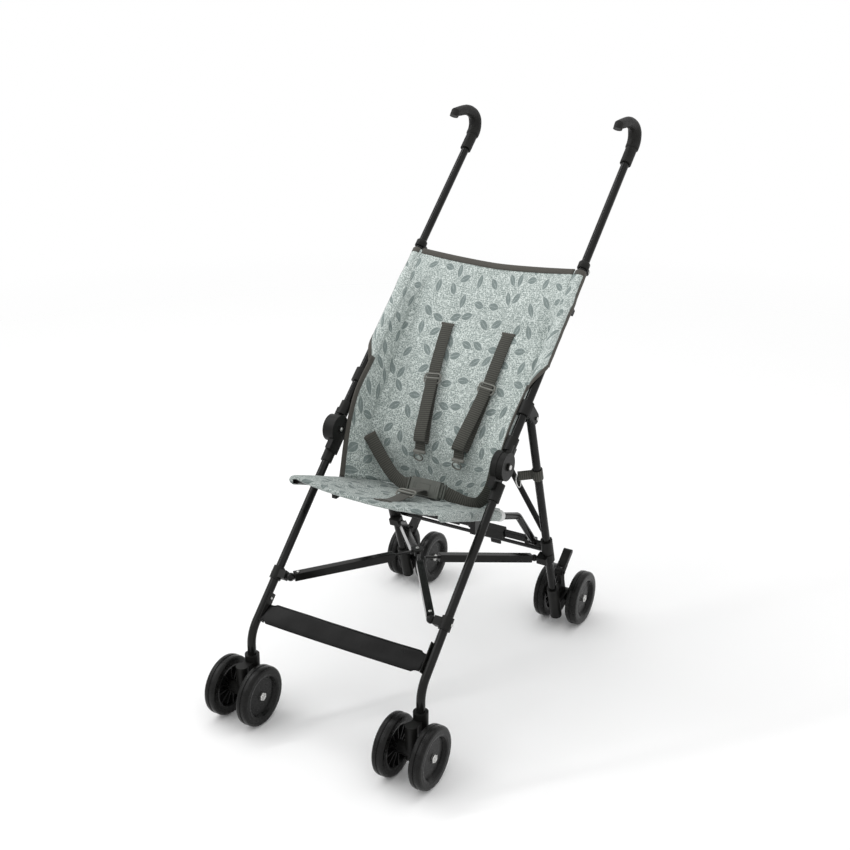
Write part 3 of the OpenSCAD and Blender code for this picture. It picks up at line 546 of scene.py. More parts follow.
def rounded_box(name, size, place, turn, bevel, material):
    """Block of size in millimetres with rounded edges, about a place, turned by a matrix."""
    bm = bmesh.new()
    bmesh.ops.create_cube(bm, size=1.0)
    bmesh.ops.scale(bm, vec=Vector(size) * MM, verts=bm.verts)
    bmesh.ops.bevel(bm, geom=bm.edges[:], offset=bevel * MM, segments=3, profile=0.5, affect="EDGES")
    bmesh.ops.transform(bm, matrix=Matrix.Translation(place) @ turn.to_4x4(), verts=bm.verts)
    return new_piece(name, bm, material)


def turned(name, profile, place, axis, material, sides=24, soft_shade=True):
    """Turned piece: profile pairs are (radius, height) in millimetres along axis from place."""
    bm = bmesh.new()
    spin = Vector((0, 0, 1)).rotation_difference(Vector(axis).normalized()).to_matrix()
    rings = []
    for r, h in profile:
        circle = [Vector((r * math.cos(t), r * math.sin(t), h)) * MM for t in turns(sides)]
        rings.append([bm.verts.new(place + spin @ p) for p in circle])
    for low, high in zip(rings, rings[1:]):
        for k in range(sides):
            n = (k + 1) % sides
            bm.faces.new((low[k], low[n], high[n], high[k]))
    bm.faces.new(rings[0][::-1])
    bm.faces.new(rings[-1])
    return new_piece(name, bm, material, soft_shade)


def fold_flat(obj, body):
    """Soft piece that rides the given body, with its own copy of its mesh."""
    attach(obj, body)
    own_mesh(obj)


# Studio

# Camera fitted to the photo, with its angles in degrees
CAMERA_LENS = 52.31
CAMERA_SENSOR = 36.0
CAMERA_PLACE = (1.083, -1.9084, 1.345)
CAMERA_DOWN = 21.66
CAMERA_ROUND = 30.39
FLOOR_R = 3.6
FLOOR_FADE = (0.9, 3.4)
WORLD_LIT = 0.86
LAMP_AIM = Vector((0.0, 0.0, 0.45))
# The height of each lamp follows this, near the push tubes' direction
LAMP_WAY = Vector((0.16, 0.80, 0.57))
# Name, place, width and height in metres, watts
LAMPS = (("key", (-1.7, -2.6, 3.0), 2.2, 2.2, 22.0),
         ("strip", (-1.55, -0.33, 2.24), 0.16, 2.2, 14.0),
         ("fill", (2.8, -1.2, 2.2), 2.4, 2.4, 4.0),
         ("top", (0.2, 0.8, 3.4), 2.6, 2.6, 14.0))


def camera():
    lens = bpy.data.cameras.new("camera")
    lens.lens = CAMERA_LENS
    lens.sensor_width = CAMERA_SENSOR
    view = link_object("camera", lens)
    view.location = CAMERA_PLACE
    view.rotation_euler = (math.radians(90 - CAMERA_DOWN), 0.0, math.radians(CAMERA_ROUND))
    bpy.context.scene.camera = view


def floor_white():
    """Matt white floor that fades into the white background towards its rim."""
    s = Shader("floor_white")
    where = object_space(s)
    tint = s.noise(where, 3.0, 2.0)
    s.finish(Base_Color=s.blend(tint, rgb(0.95, 0.95, 0.95), rgb(0.97, 0.97, 0.97)), Roughness=0.9,
             Specular_IOR_Level=0.0)
    far = s.add("ShaderNodeVectorMath", {0: where}, operation="LENGTH").outputs["Value"]
    fade, clear = s.ramp(far, *FLOOR_FADE), s.add("ShaderNodeBsdfTransparent")
    join = s.add("ShaderNodeMixShader", {0: fade, 1: s.out.outputs[0], 2: clear.outputs[0]})
    s.put(s.tree.nodes["Material Output"].inputs["Surface"], join.outputs[0])
    return s.mat


def round_floor():
    bm = bmesh.new()
    bmesh.ops.create_circle(bm, cap_ends=True, segments=96, radius=FLOOR_R)
    mesh = bpy.data.meshes.new("floor")
    bm.to_mesh(mesh)
    bm.free()
    mesh.materials.append(floor_white())
    floor = link_object("floor", mesh)


def white_world():
    """White all round: at full strength where it is seen or mirrored, a little weaker as a light."""
    world = bpy.data.worlds.new("studio")
    world.use_nodes = True
    bpy.context.scene.world = world
    tree = world.node_tree
    add, link = tree.nodes.new, tree.links.new
    tree.nodes.clear()
    out = add("ShaderNodeOutputWorld")
    path = add("ShaderNodeLightPath")
    seen = add("ShaderNodeBackground")
    lit = add("ShaderNodeBackground")
    join = add("ShaderNodeMixShader")
    for background in (seen, lit):
        background.inputs["Color"].default_value = rgb(1, 1, 1)
    lit.inputs["Strength"].default_value = WORLD_LIT
    shown = path.outputs["Is Camera Ray"]
    for ray in ("Is Glossy Ray", "Is Transmission Ray"):
        either = add("ShaderNodeMath")
        either.operation = "MAXIMUM"
        link(shown, either.inputs[0])
        link(path.outputs[ray], either.inputs[1])
        shown = either.outputs[0]
    for socket, source in enumerate((shown, lit.outputs[0], seen.outputs[0])):
        link(source, join.inputs[socket])
    link(join.outputs[0], out.inputs["Surface"])


def lamps():
    for name, place, wide, high, power in LAMPS:
        data = bpy.data.lights.new(name, "AREA")
        data.shape = "RECTANGLE"
        data.size, data.size_y = wide, high
        data.energy = power
        lamp = link_object(name, data)
        lamp.location = place
        away = (Vector(place) - LAMP_AIM).normalized()
        along = (LAMP_WAY - away * LAMP_WAY.dot(away)).normalized()
        lamp.rotation_euler = Matrix((along.cross(away), along, away)).transposed().to_euler()


def studio():
    bpy.context.scene.view_settings.view_transform = "Standard"
    camera()
    round_floor()
    white_world()
    lamps()


def paint_frame():
    """Gives every CAD node its slot's material; the brace hub is black, as in the photo."""
    slots = {row["node"]: row["material_slot"] for row in frame["record"]["subparts"]}
    for name, obj in NODES.items():
        material = PLASTIC if name == "brace_hub" else SLOT_MATERIALS[slots[name]]
        obj.data.materials.clear()
        obj.data.materials.append(material)


# Seat back: u runs from -1 to 1 across, v from 0 at the crease to 1 at the top hem

BACK_TOP = 420.0
HEM_SAG = 8.0
CREASE_LIFT = 5.0
LUMBAR_V = 0.25
LUMBAR_EASE = 0.07
WING_X = 167.2
WING_FRONT = 4.0
WING_LOW = [(157.0, 303.0, 372.0), (162.0, 334.7, 457.7), (166.0, 374.7, 522.0)]
WING_SHARES = (0.0, 0.15, 0.28, 0.40)
WING_BOUND = 0.43
WING_CURVE = 0.25
FOLD_U = 0.74
FOLD_X = 150.0
FOLD_TAPER = 30.0
FOLD_TAPER_V = 0.28
LEVEL_V = 0.72
PRINT_V = 0.2
STRAP_SLOT = (0.33, 0.735)
# Folds of the back: height, waves across, waves up, seed
PULL_FOLDS = (2.6, 2.2, 9.0, 1.7)
SOFT_FOLDS = (2.2, 4.0, 3.2, 8.1)
WING_FOLDS = (3.4, 20.0, 2.6, 4.4)
GATHER_FOLDS = (1.4, 14.0, 3.0, 2.4)
DENT_DEEP = 3.4
TUCK_DEEP = 3.0
CREASE_DEEP = 6.5
# Width and thickness of the bindings
TOP_BINDING = (13.0, 4.2)
WING_BINDING = (11.0, 3.8)
SLEEVE_BINDING = (11.0, 2.4)
SLEEVE_EDGE = (8.0, 2.4)
SLEEVE_FOOT = (7.0, 2.4)
# Sleeves of cloth round the push tubes
SLEEVE_FROM = 150.0
SLEEVE_LAP = 6.0
SLEEVE_SLANT = 68.0
SLEEVE_R = 10.2
SLEEVE_T = 0.9
SLEEVE_TURN = (12, 175)
SLEEVE_FOLDS = (0.5, 0.05, 1.0)
SLEEVE_UV = (0.31, 0.2, 0.036, 0.28)
SLEEVE_UV_STEP = 0.05


def back_middle(v):
    """Side-view middle line of the back: crease, small of the back, top hem."""
    low, small = Vector((CREASE[0], CREASE[1] + CREASE_LIFT)), Vector(LUMBAR)
    top = Vector(push_at(BACK_TOP)) - Vector((0, HEM_SAG))

    def line(t):
        if t < LUMBAR_V:
            return low.lerp(small, t / LUMBAR_V)
        return small.lerp(top, (t - LUMBAR_V) / (1 - LUMBAR_V))
    step = max(0.0, min(LUMBAR_EASE, v, 1 - v))
    return (line(v - step) + 2 * line(v) + line(v + step)) / 4


def wing_on_tube(s):
    return Vector((WING_X, *push_at(s, WING_FRONT)))


def back_edge(v):
    """Edge of the side wing: along the front of the push tube, then inside the knuckle to the pan."""
    free_top = WING_SHARES[-1]
    if v >= free_top:
        return wing_on_tube(mix(SLEEVE_FROM, BACK_TOP, (v - free_top) / (1 - free_top)))
    free = WING_LOW + [wing_on_tube(SLEEVE_FROM)]
    k = max(n for n, low in enumerate(WING_SHARES) if v >= low)
    share = (v - WING_SHARES[k]) / (WING_SHARES[k + 1] - WING_SHARES[k])
    return through(free, (k + share) / len(WING_LOW))


def back_plain(u, v):
    """Back surface without wrinkles."""
    side = math.copysign(1.0, u)
    a = abs(u)
    edge, middle = back_edge(v), back_middle(v)
    shallow = WING_CURVE * mix(1.0, 1.6, ease(v, 0.6, 1.0))
    corner = mix(FOLD_X - FOLD_TAPER, FOLD_X, ease(v, 0.0, FOLD_TAPER_V))
    if a <= FOLD_U:
        x, w = corner * a / FOLD_U, shallow * (a / FOLD_U) ** 2
    else:
        t = (a - FOLD_U) / (1 - FOLD_U)
        x, w = mix(corner, edge.x, t), mix(shallow, 1.0, t)
    level = ease(v, LEVEL_V, 1.0)
    x, w = mix(x, edge.x * a, level), mix(w, a ** 1.5, level)
    return Vector((side * x, mix(middle.x, edge.y, w), mix(middle.y, edge.z, w)))


def wrinkle(u, v):
    """Depth in millimetres of the cloth's folds, out of the seat."""
    a = abs(u)
    slot_u, slot_v = STRAP_SLOT
    below_hem = 1 - ease(v, 0.7, 0.95)
    pull = ripple(u, v, *PULL_FOLDS) * ease(v, 0.45, 0.75)
    soft = ripple(u, v, *SOFT_FOLDS)
    wing = ripple(u, v, *WING_FOLDS) * ease(a, 0.66, 0.76) * below_hem
    gather = ripple(u, v, *GATHER_FOLDS) * ease(0.3 - v, 0.0, 0.25)
    dent = DENT_DEEP * bell(v - slot_v, 0.03) * (1 - ease(a, 0.62, 0.92))
    tuck = TUCK_DEEP * bell(a - slot_u, 0.13) * bell(v - slot_v - 0.03, 0.025)
    crease = CREASE_DEEP * bell(a - FOLD_U + 0.01, 0.045) * below_hem
    hold = ease(1 - a, 0.0, 0.06) * ease(1 - v, 0.0, 0.05) * ease(v, 0.0, 0.05)
    return hold * (pull + soft + wing + gather - dent - tuck - crease)


def back_at(u, v, lift=0.0):
    """Place on the wrinkled back in millimetres, lifted off it along its normal towards the child."""
    e = 0.004
    p = back_plain(u, v)
    across = back_plain(min(1, u + e), v) - back_plain(max(-1, u - e), v)
    up = back_plain(u, min(1, v + e)) - back_plain(u, max(0, v - e))
    out = across.cross(up).normalized()
    return p + out * (wrinkle(u, v) + lift)


def seat_back():
    wide = run_length([back_plain(2 * t - 1, PRINT_V) for t in shares(80)]) * MM
    tall = run_length([back_plain(0, t) for t in shares(40)]) * MM
    bm = grid_mesh(lambda u, v: at(*back_at(2 * u - 1, v)), 88, 72, (-wide / 2, 0.0, wide, tall))
    obj = new_piece("seat_back_cloth", bm, CLOTH)
    cut = thicken(obj, CLOTH_T)
    fold_flat(obj, "seat")
    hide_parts("seat_back")
    top = [at(*back_at(2 * t - 1, 1.0, -CLOTH_T / 2)) for t in shares(60)]
    trims = [strip("top_binding", top, [-PUSH_WAY] * len(top), *TOP_BINDING)]
    run = [WING_BOUND * t for t in shares(40)]
    for side, name in SIDES:
        edge = [at(*back_at(side, v, -CLOTH_T / 2)) for v in run]
        inward = [at(*back_at(side * 0.97, v)) - p for v, p in zip(run, edge)]
        trims.append(strip("wing_binding_" + name, edge, inward, *WING_BINDING))
    for trim in trims:
        fold_flat(trim, "seat")


def sleeve_at(side, u, v):
    """Place on a sleeve: u round the front of its tube from the inner edge, v up the tube."""
    s = mix(SLEEVE_FROM - SLEEVE_LAP + SLEEVE_SLANT * u, BACK_TOP + 1, v)
    turn = math.radians(mix(*SLEEVE_TURN, u))
    over_bracket = 1.9 * bell(s - CROSS_UP, 16.0)
    towards_back = 2.6 * (1 - ease(u, 0.0, 0.2))
    r = SLEEVE_R + over_bracket + towards_back + ripple(s, turn, *SLEEVE_FOLDS, 3.0 + side)
    return at(side * (HALF - r * math.cos(turn)), *push_at(s, r * math.sin(turn)))


def tube_sleeves():
    """Cloth sleeves round the front of the push tubes, bound at their edges, open behind."""
    left, *rest = SLEEVE_UV
    for side, name in SIDES:
        bm = grid_mesh(lambda u, v: sleeve_at(side, u, v), 26, 70, (left + side * SLEEVE_UV_STEP, *rest))
        obj = new_piece("tube_sleeve_" + name, bm, CLOTH)
        cut = thicken(obj, SLEEVE_T, 0.0)
        rim = [sleeve_at(side, mix(0.16, 1.0, t), 0.985) for t in shares(24)]
        down = [-PUSH_WAY] * len(rim)
        hem = strip("sleeve_binding_" + name, rim, down, *SLEEVE_BINDING)
        back = [sleeve_at(side, 1.0, t) for t in shares(40)]
        inward = [sleeve_at(side, 0.9, t) - p for t, p in zip(shares(40), back)]
        edge = strip("sleeve_edge_" + name, back, inward, *SLEEVE_EDGE)
        slant = [sleeve_at(side, t, 0.012) for t in shares(24)]
        foot = strip("sleeve_foot_" + name, slant, down, *SLEEVE_FOOT)
        for piece in (obj, hem, edge, foot):
            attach(piece, "upper_" + name)


# Seat pan: u runs from -1 to 1 across, v from 0 at the front to 1 at the crease

PAN_LEN = 0.885
PAN_SIDE_LEN = 0.73
PAN_WRAP = 0.84
PAN_SAG = 12.0
PAN_CLEAR = 2.4
PAN_R = RAIL_R + PAN_CLEAR
PAN_TURN = (90, -75)
PAN_FOLDS = ((2.6, 7.0, 2.0, 2.2), (1.7, 15.0, 2.6, 6.0))
PAN_UV = (0.7, 0.03, 0.36, 0.285)
POCKET_FLARE = 5.0
POCKET_REACH = 12.0
POCKET_SHUT = math.radians(82)
HEM_SHARE = 0.07
HEM_R = 4.5
HEM_TURN = math.radians(230)
LINING_SIZE = (15.0, 2.4)
RAIL_DIR = Vector((SEAT_FRONT[0] - RAIL_BEND[0], SEAT_FRONT[1] - RAIL_BEND[1])).normalized()
RAIL_UP = Vector((RAIL_DIR.y, -RAIL_DIR.x))


def rail_at(t):
    """Place along the front run of the seat rail, 0 at the front."""
    return (mix(SEAT_FRONT[0], RAIL_BEND[0], t), mix(SEAT_FRONT[1], RAIL_BEND[1], t))


def by_rail(ahead, above):
    """Step forward along the rails and square up from them."""
    return Vector((0, ahead * RAIL_DIR.x + above * RAIL_UP.x, ahead * RAIL_DIR.y + above * RAIL_UP.y))


def pan_front(u, roll):
    """Front edge of the pan: a rolled hem in the middle, a rounded pocket end on each rail."""
    front = pan_at(u, 0.0)
    side = math.copysign(1.0, u)
    turn, shut = HEM_TURN * roll, POCKET_SHUT * roll
    hem = front + by_rail(HEM_R * math.sin(turn), -HEM_R * (1 - math.cos(turn)))
    tip = Vector((side * RAIL_X, *SEAT_FRONT))
    cap = tip + (front - tip) * math.cos(shut) + by_rail(POCKET_REACH * math.sin(shut), 0.0)
    return hem.lerp(cap, ease(abs(u), PAN_WRAP - 0.06, PAN_WRAP))


def pan_at(u, v, lift=0.0):
    """Seat pan, which wraps each rail and sags between them; v below 0 is the rolled front edge."""
    if v < 0:
        return pan_front(u, min(1.0, -v / HEM_SHARE))
    a, side = abs(u), math.copysign(1.0, u)
    y, z = rail_at(mix(PAN_LEN, PAN_SIDE_LEN, ease(a, 0.7, PAN_WRAP)) * v)
    if a > PAN_WRAP:
        turn = math.radians(mix(*PAN_TURN, (a - PAN_WRAP) / (1 - PAN_WRAP)))
        x = RAIL_X + (PAN_R + POCKET_FLARE * (1 - ease(v, 0.0, 0.25))) * math.cos(turn)
        h = PAN_R * math.sin(turn)
    else:
        s = a / PAN_WRAP
        x = RAIL_X * s
        h = PAN_R - PAN_SAG * math.sin(math.pi * min(1.0, 0.36 + 0.6 * v)) * (1 - s ** 2.2)
    fold = sum(ripple(u, v, *folds) for folds in PAN_FOLDS) * mix(0.25, 1.0, ease(v, 0.0, 0.2))
    h += fold * ease(1 - a, 0.0, 0.3) * ease(1 - v, 0.0, 0.1) + lift
    return Vector((side * x, y, z)) + by_rail(0.0, h)


def seat_pan():
    bm = grid_mesh(lambda u, v: at(*pan_at(2 * u - 1, mix(-HEM_SHARE, 1.0, v))), 72, 64, PAN_UV)
    obj = new_piece("seat_pan_cloth", bm, PAN_CLOTH_PAINTED_SHADE)
    cut = thicken(obj, CLOTH_T)
    trims = []
    for side, name in SIDES:
        end = [at(*pan_at(side * mix(PAN_WRAP - 0.04, 1.0, t), 1.0)) for t in shares(24)]
        along = [by_rail(1.0, 0.0)] * len(end)
        trims.append(strip("pan_lining_" + name, end, along, *LINING_SIZE, LINING, "seat_cloth"))
    for piece in [obj] + trims:
        fold_flat(piece, "pan")
    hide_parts("seat_pan")


# Harness

# Shoulder strap: (u, v) on the back from its slot to its loop
STRAP_RUN = (STRAP_SLOT, (0.315, 0.60), (0.295, 0.50), (0.26, 0.38), (0.22, 0.262))
# Shares of that run, and for the lower webbing its lifts off the back
UPPER_SHARES = (0, 0.1, 0.2, 0.3, 0.42, 0.5)
LOWER_LIFTS = ((0.44, 11.5), (0.55, 13), (0.68, 17), (0.82, 22), (0.93, 27), (1.0, 27),
               (1.04, 18), (1.0, 9), (0.93, 5.5), (0.8, 5.5), (0.65, 5.5), (0.5, 5.5))
UPPER_LIFTS = (2.2, 7.2)
STRAP_LEAN = (0.0, -0.1, 0.0, 0.05, 0.0)
SLOT_LIFT = 1.4
SLOT_HALF = 14.0
SLOT_SIZE = (5.0, 1.6)
# The slide lies from the second of these places to the first
ADJUSTER_AT = ((0.47, 9.5), (0.53, 10.0))
ADJUSTER_SIZE = (34.0, 19.0)
# Tab, hook and ring hang from the end of the run by these steps
HOOK_AT = (1.0, 20.0)
TAB_STEPS = ((0, 0, -2), (0, -1, -10), (0, -3, -19))
TAB_SIZE = (22.0, 2.6)
HOOK_STEP = Vector((0, -4, -20))
HOOK_SIZE = (27.0, 6.0, 7.0)
HOOK_TILT = math.radians(-25)
RING_STEP = Vector((-2, -5, -31))
RING_R = Vector((9.5, -3.0, 8.5))
RING_WIRE = 3.0
# Crotch strap: u, v and lift on the pan from its patch up to the buckle
CROTCH_RUN = ((0.09, 0.13, 2.4), (0.08, 0.24, 3.0), (0.06, 0.38, 9.0), (0.03, 0.54, 16.0), (0.0, 0.68, 15.0))
CROTCH_END = Vector((0, -16, -7))
CROTCH_SLIDE = (35.0, 20.0)
CROTCH_SLIDE_AT = (0.05, 0.43, 14.0)
PATCH_RUN = ((0.09, 0.09, 1.6), (0.09, 0.13, 1.6), (0.09, 0.17, 1.6))
PATCH_SIZE = (33.0, 1.4)
# Lap straps: steps from the buckle's middle
LAP_LEFT = ((-41, 0, 0), (-56, 2, -1), (-80, 8, 8), (-107, 15, 32), (-128, 20, 56), (-143, 24, 73))
LAP_RIGHT = ((41, 0, 0), (56, 3, -6), (84, 6, -13), (112, 8, -5), (130, 14, 26), (136, 26, 66))
LAP_LEFT_WIDTH = ((0, 0.35, 0.94), (0.1, 0.4, 0.9), (0.3, 0.5, 0.8), (0.47, 0.58, 0.65))
LAP_RIGHT_WIDTH = ((0, 0.35, 0.94), (-0.1, 0.3, 0.94), (-0.35, -0.5, 0.8), (-0.75, -0.4, 0.5))
LAP_HEM_HALF = 13.0
LAP_HEM_SIZE = (7.0, 3.4)
# Tongues and ladder bars of the buckle: step from its middle, width, height; then its ribs
TONGUES = ((33.0, 6.0, 27.0), (39.5, 3.4, 30.0))
TONGUE_DEEP = 7.0
RIBS_X = (21.0, 25.6)
RIB_SIZE = (2.4, 1.2, 15.0)
RIB_OUT = 7.9


def slide(name, middle, across, along, wide, tall, gauge=3.8):
    """Three-bar slide: a rounded wire frame with a middle bar."""
    corner = 0.3 * tall
    loop = []
    for cx, cy, start in ((1, 1, 0), (-1, 1, 90), (-1, -1, 180), (1, -1, 270)):
        for share in shares(4):
            t = math.radians(start + 90 * share)
            loop.append(middle + (across * (cx * (wide / 2 - corner) + corner * math.cos(t))
                                  + along * (cy * (tall / 2 - corner) + corner * math.sin(t))) * MM)
    normal = across.cross(along)
    rim = sweep(name, loop, [normal] * len(loop), round_profile(gauge), SLIDE_GREY, True, 0.01)
    bar = [middle + (across * (wide / 2 * k) + normal * (gauge * 0.4)) * MM for k in (-1, -0.5, 0, 0.5, 1)]
    mid = sweep(name + "_bar", bar, [normal] * len(bar), round_profile(gauge * 1.2), SLIDE_GREY,
                False, 0.01)
    return [rim, mid]


def shoulder_strap(side, name):
    """One shoulder strap with its slot, slide, tab, hook and ring."""
    run = [Vector((side * u, v, 0)) for u, v in STRAP_RUN]

    def on_back(t, lift):
        p = through(run, t)
        return back_at(p.x, p.y, lift)

    level = [ACROSS] * 3
    mouth = [on_back(0, SLOT_LIFT) + Vector((dx, 0, 2)) for dx in (-SLOT_HALF, 0, SLOT_HALF)]
    slot = tape("strap_slot_" + name, mouth, [Vector((0, 0.6, 0.8))] * 3, *SLOT_SIZE, 12, BIND)
    places = [on_back(t, mix(*UPPER_LIFTS, ease(t, 0.0, 0.3))) for t in UPPER_SHARES]
    upper = tape("strap_upper_" + name, places, level)
    places = [on_back(t, lift) for t, lift in LOWER_LIFTS]
    lean = [Vector((1, 0, dz * side)) for dz in STRAP_LEAN]
    lower = tape("strap_lower_" + name, places, lean, steps=90)
    mid, low = [on_back(t, lift) for t, lift in ADJUSTER_AT]
    along = (mid - low).normalized()
    across = (ACROSS - along * along.x).normalized()
    adjuster = slide("strap_adjuster_" + name, at(*mid), across, along, *ADJUSTER_SIZE)
    hook_top = on_back(*HOOK_AT)
    hang = hook_top + RING_STEP
    circle = [at(*(hang + Vector((RING_R.x * math.cos(t), RING_R.y * math.sin(t), RING_R.z * math.sin(t)))))
              for t in turns(18)]
    ring = wire("strap_ring_" + name, circle, RING_WIRE, SLIDE_GREY)
    drop = [hook_top + Vector(step) for step in TAB_STEPS]
    tab = tape("strap_tab_" + name, drop, level, *TAB_SIZE, 16)
    hook = rounded_box("strap_hook_" + name, HOOK_SIZE, at(*(hook_top + HOOK_STEP)),
                       Matrix.Rotation(HOOK_TILT, 3, "X"), 2.4, SLIDE_GREY)
    return [slot, upper, lower, tab, ring, hook] + adjuster


def shoulder_straps():
    pieces = []
    for side, name in SIDES:
        pieces += shoulder_strap(side, name)
    for obj in pieces:
        fold_flat(obj, "seat")
    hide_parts("shoulder_straps")


def lap_straps():
    """Lap straps with a hemmed end, and the crotch strap with its bare patch and slide."""
    buckle = Vector((0, *BUCKLE))
    left = [buckle + Vector(step) for step in LAP_LEFT]
    right = [buckle + Vector(step) for step in LAP_RIGHT]
    pieces = [tape("lap_strap_left", left, LAP_LEFT_WIDTH, steps=50),
              tape("lap_strap_right", right, LAP_RIGHT_WIDTH, steps=50)]
    run = (left[-1] - left[-2]).normalized()
    wide = Vector(LAP_LEFT_WIDTH[-1])
    wide = (wide - run * wide.dot(run)).normalized()
    hem = [left[-1] - run * 2 + wide * d for d in (-LAP_HEM_HALF, 0, LAP_HEM_HALF)]
    pieces.append(tape("lap_end", hem, [run] * 3, *LAP_HEM_SIZE, 12, BIND))
    crotch = [pan_at(*place) for place in CROTCH_RUN]
    crotch.append(buckle + CROTCH_END)
    level = [ACROSS] * 3
    patch = [pan_at(*place) for place in PATCH_RUN]
    sewn = [tape("crotch_strap", crotch, level), tape("crotch_patch", patch, level, *PATCH_SIZE, 10, BIND)]
    sewn += slide("crotch_slide", at(*pan_at(*CROTCH_SLIDE_AT)), ACROSS, Vector((0, 0.98, 0.18)),
                  *CROTCH_SLIDE)
    for obj in pieces:
        fold_flat(obj, "seat")
    for obj in sewn:
        fold_flat(obj, "pan")
    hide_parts("lap_straps")


def buckle_details():
    """Tongues, ribs and ladder bars on the buckle, which keeps its own body and button."""
    turn = Matrix.Rotation(BUCKLE_TILT, 3, "X")
    centre = at(0, *BUCKLE)
    pieces = []

    def block(name, size, dx, dy, bevel):
        place = centre + turn @ (Vector((dx, dy, 0)) * MM)
        pieces.append(rounded_box(name, size, place, turn, bevel, BUCKLE_GREY))

    for side, name in SIDES:
        for k, (dx, wide, tall) in enumerate(TONGUES):
            block(f"buckle_tongue_{name}_{k}", (wide, TONGUE_DEEP, tall), side * dx, 0.0, 1.6)
        for k, dx in enumerate(RIBS_X):
            block(f"buckle_rib_{name}_{k}", RIB_SIZE, side * dx, -RIB_OUT, 0.5)
    for obj in pieces:
        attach(obj, "buckle")


# Footrest

FOOT_DOWN = 352.0
FOOT_SLOPE = math.radians(26)
FOOT_HALF = 168.6
FOOT_DEEP = 44.0
FOOT_TAB = 4.0
FOOT_UNDER = 2.5
FOOT_SAG = 2.6
FOOT_LIP = 1.1
FOOT_FOLDS = (0.9, 3.0, 1.5, 5.0)
FOOT_T = 2.4
FOOT_UV = (0.0, 0.0, 0.342, 0.044)
PLATE_SIZE = (2.0, 19.0, 56.0)
PLATE_X = 170.7
PLATE_DOWN = 364.0
PLATE_RIVET_X = 169.8
PLATE_RIVETS_DOWN = (346.0, 383.0)


def foot_at(u, v):
    """Coated panel between the front legs, u across and v from its top edge to its lower edge."""
    y, z = leg_at(FOOT_DOWN)
    x = 2 * u - 1
    tab = FOOT_TAB * ease(abs(x), 0.92, 0.94)
    d = mix(tab, FOOT_DEEP - tab, v)
    sag = FOOT_SAG * (1 - x * x) + ripple(x, v, *FOOT_FOLDS)
    h = -FOOT_UNDER - sag - FOOT_LIP * (bell(v, 0.06) + bell(1 - v, 0.06))
    return at(FOOT_HALF * x, y - d * math.cos(FOOT_SLOPE) - h * math.sin(FOOT_SLOPE),
              z - d * math.sin(FOOT_SLOPE) + h * math.cos(FOOT_SLOPE))


def footrest():
    """Panel, and the riveted plates on the front legs that hold it."""
    bm = grid_mesh(foot_at, 90, 14, FOOT_UV)
    obj = new_piece("footrest_panel", bm, PANEL)
    cut = thicken(obj, FOOT_T)
    fold_flat(obj, "footrest")
    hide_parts("footrest")
    along_leg = Matrix.Rotation(-LEG_LEAN, 3, "X")
    for side, name in SIDES:
        plate = rounded_box("footrest_plate_" + name, PLATE_SIZE, at(side * PLATE_X, *leg_at(PLATE_DOWN)),
                            along_leg, 0.7, PLASTIC)
        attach(plate, name + "_frame")
        for k, s in enumerate(PLATE_RIVETS_DOWN):
            rivet(f"footrest_rivet_{name}_{k}", at(side * PLATE_RIVET_X, *leg_at(s)), (-side, 0, 0),
                  name + "_frame", 5.0)


# Small fittings

# Shares of a rivet's radius and heights of its domed head
RIVET_DOME = ((1.0, 0.0), (1.0, 0.8), (0.92, 1.5), (0.6, 2.1), (0.25, 2.35))
NUT_FLATS = 14.6
NUT_HIGH = 5.2
NUT_GAP = 0.4
NUT_X = TWIN_SPACING / 2 + TYRE_W / 2 - DISH_DEPTH + NUT_GAP
# Steps from a tube's axis to the faces that carry rivets
KNUCKLE_OUT = 15.4
KNUCKLE_IN = 14.0
PIVOT_OUT = 14.4
RAIL_RIVET_IN = 39.0
BRACKET_R = 10.9
HANDLE_R = 11.4
# Screws up the push tube, arm rivets as (x, y), the hub's top above the bars' middle
HANDLE_SCREWS_UP = (694.0, 712.0)
ARM_RIVET = (141.0, 128.5)
HUB_TOP = 6.8
# Clips at the top corners of the cloth
CLIP_UP = 437.0
CLIP_R = 9.8
CLIP_SIZE = (15.0, 3.2)
LUG_SIZE = (12.0, 15.0, 13.0)
LUG_BACK = 17.0
# Tie between the runners, and the storage loop on the right rear leg
TIE_HALF = 178.0
TIE_BACK = 13.6
TIE_SIZE = (10.0, 2.4)
LOOP_DOWN = 136.0
LOOP_R = 9.6
LOOP_SIZE = (24.0, 2.0)
LOOP_LEAVE = Vector((-0.86, -0.5, -0.12)).normalized()
STORAGE_TAB = (9.5, 16, 24, 32, 38)
STORAGE_TAB_SIZE = (22.0, 4.2)
STORAGE_RING = (4.5, 15.0)
STORAGE_RING_DOWN = 13.0
STORAGE_WIRE = 2.2


def rivet(name, place, axis, body, d):
    """Domed head of a rivet or screw."""
    profile = [(d / 2 * share, high) for share, high in RIVET_DOME]
    obj = turned(name, profile, place, axis, STEEL)
    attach(obj, body)


def hex_nut(name, place, axis, body):
    """Lock nut: hexagon with a chamfer and a domed insert."""
    r, high = NUT_FLATS / 2 / math.cos(math.pi / 6), NUT_HIGH
    nut = turned(name, [(r, 0.0), (r, high - 1.2), (r * 0.9, high)], place, axis, STEEL,
                 6, False)
    insert = [(4.9, high - 0.5), (4.9, high + 0.9), (3.8, high + 1.5), (3.6, high + 0.7)]
    dome = turned(name + "_end", insert, place, axis, STEEL)
    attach(nut, body)
    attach(dome, body)


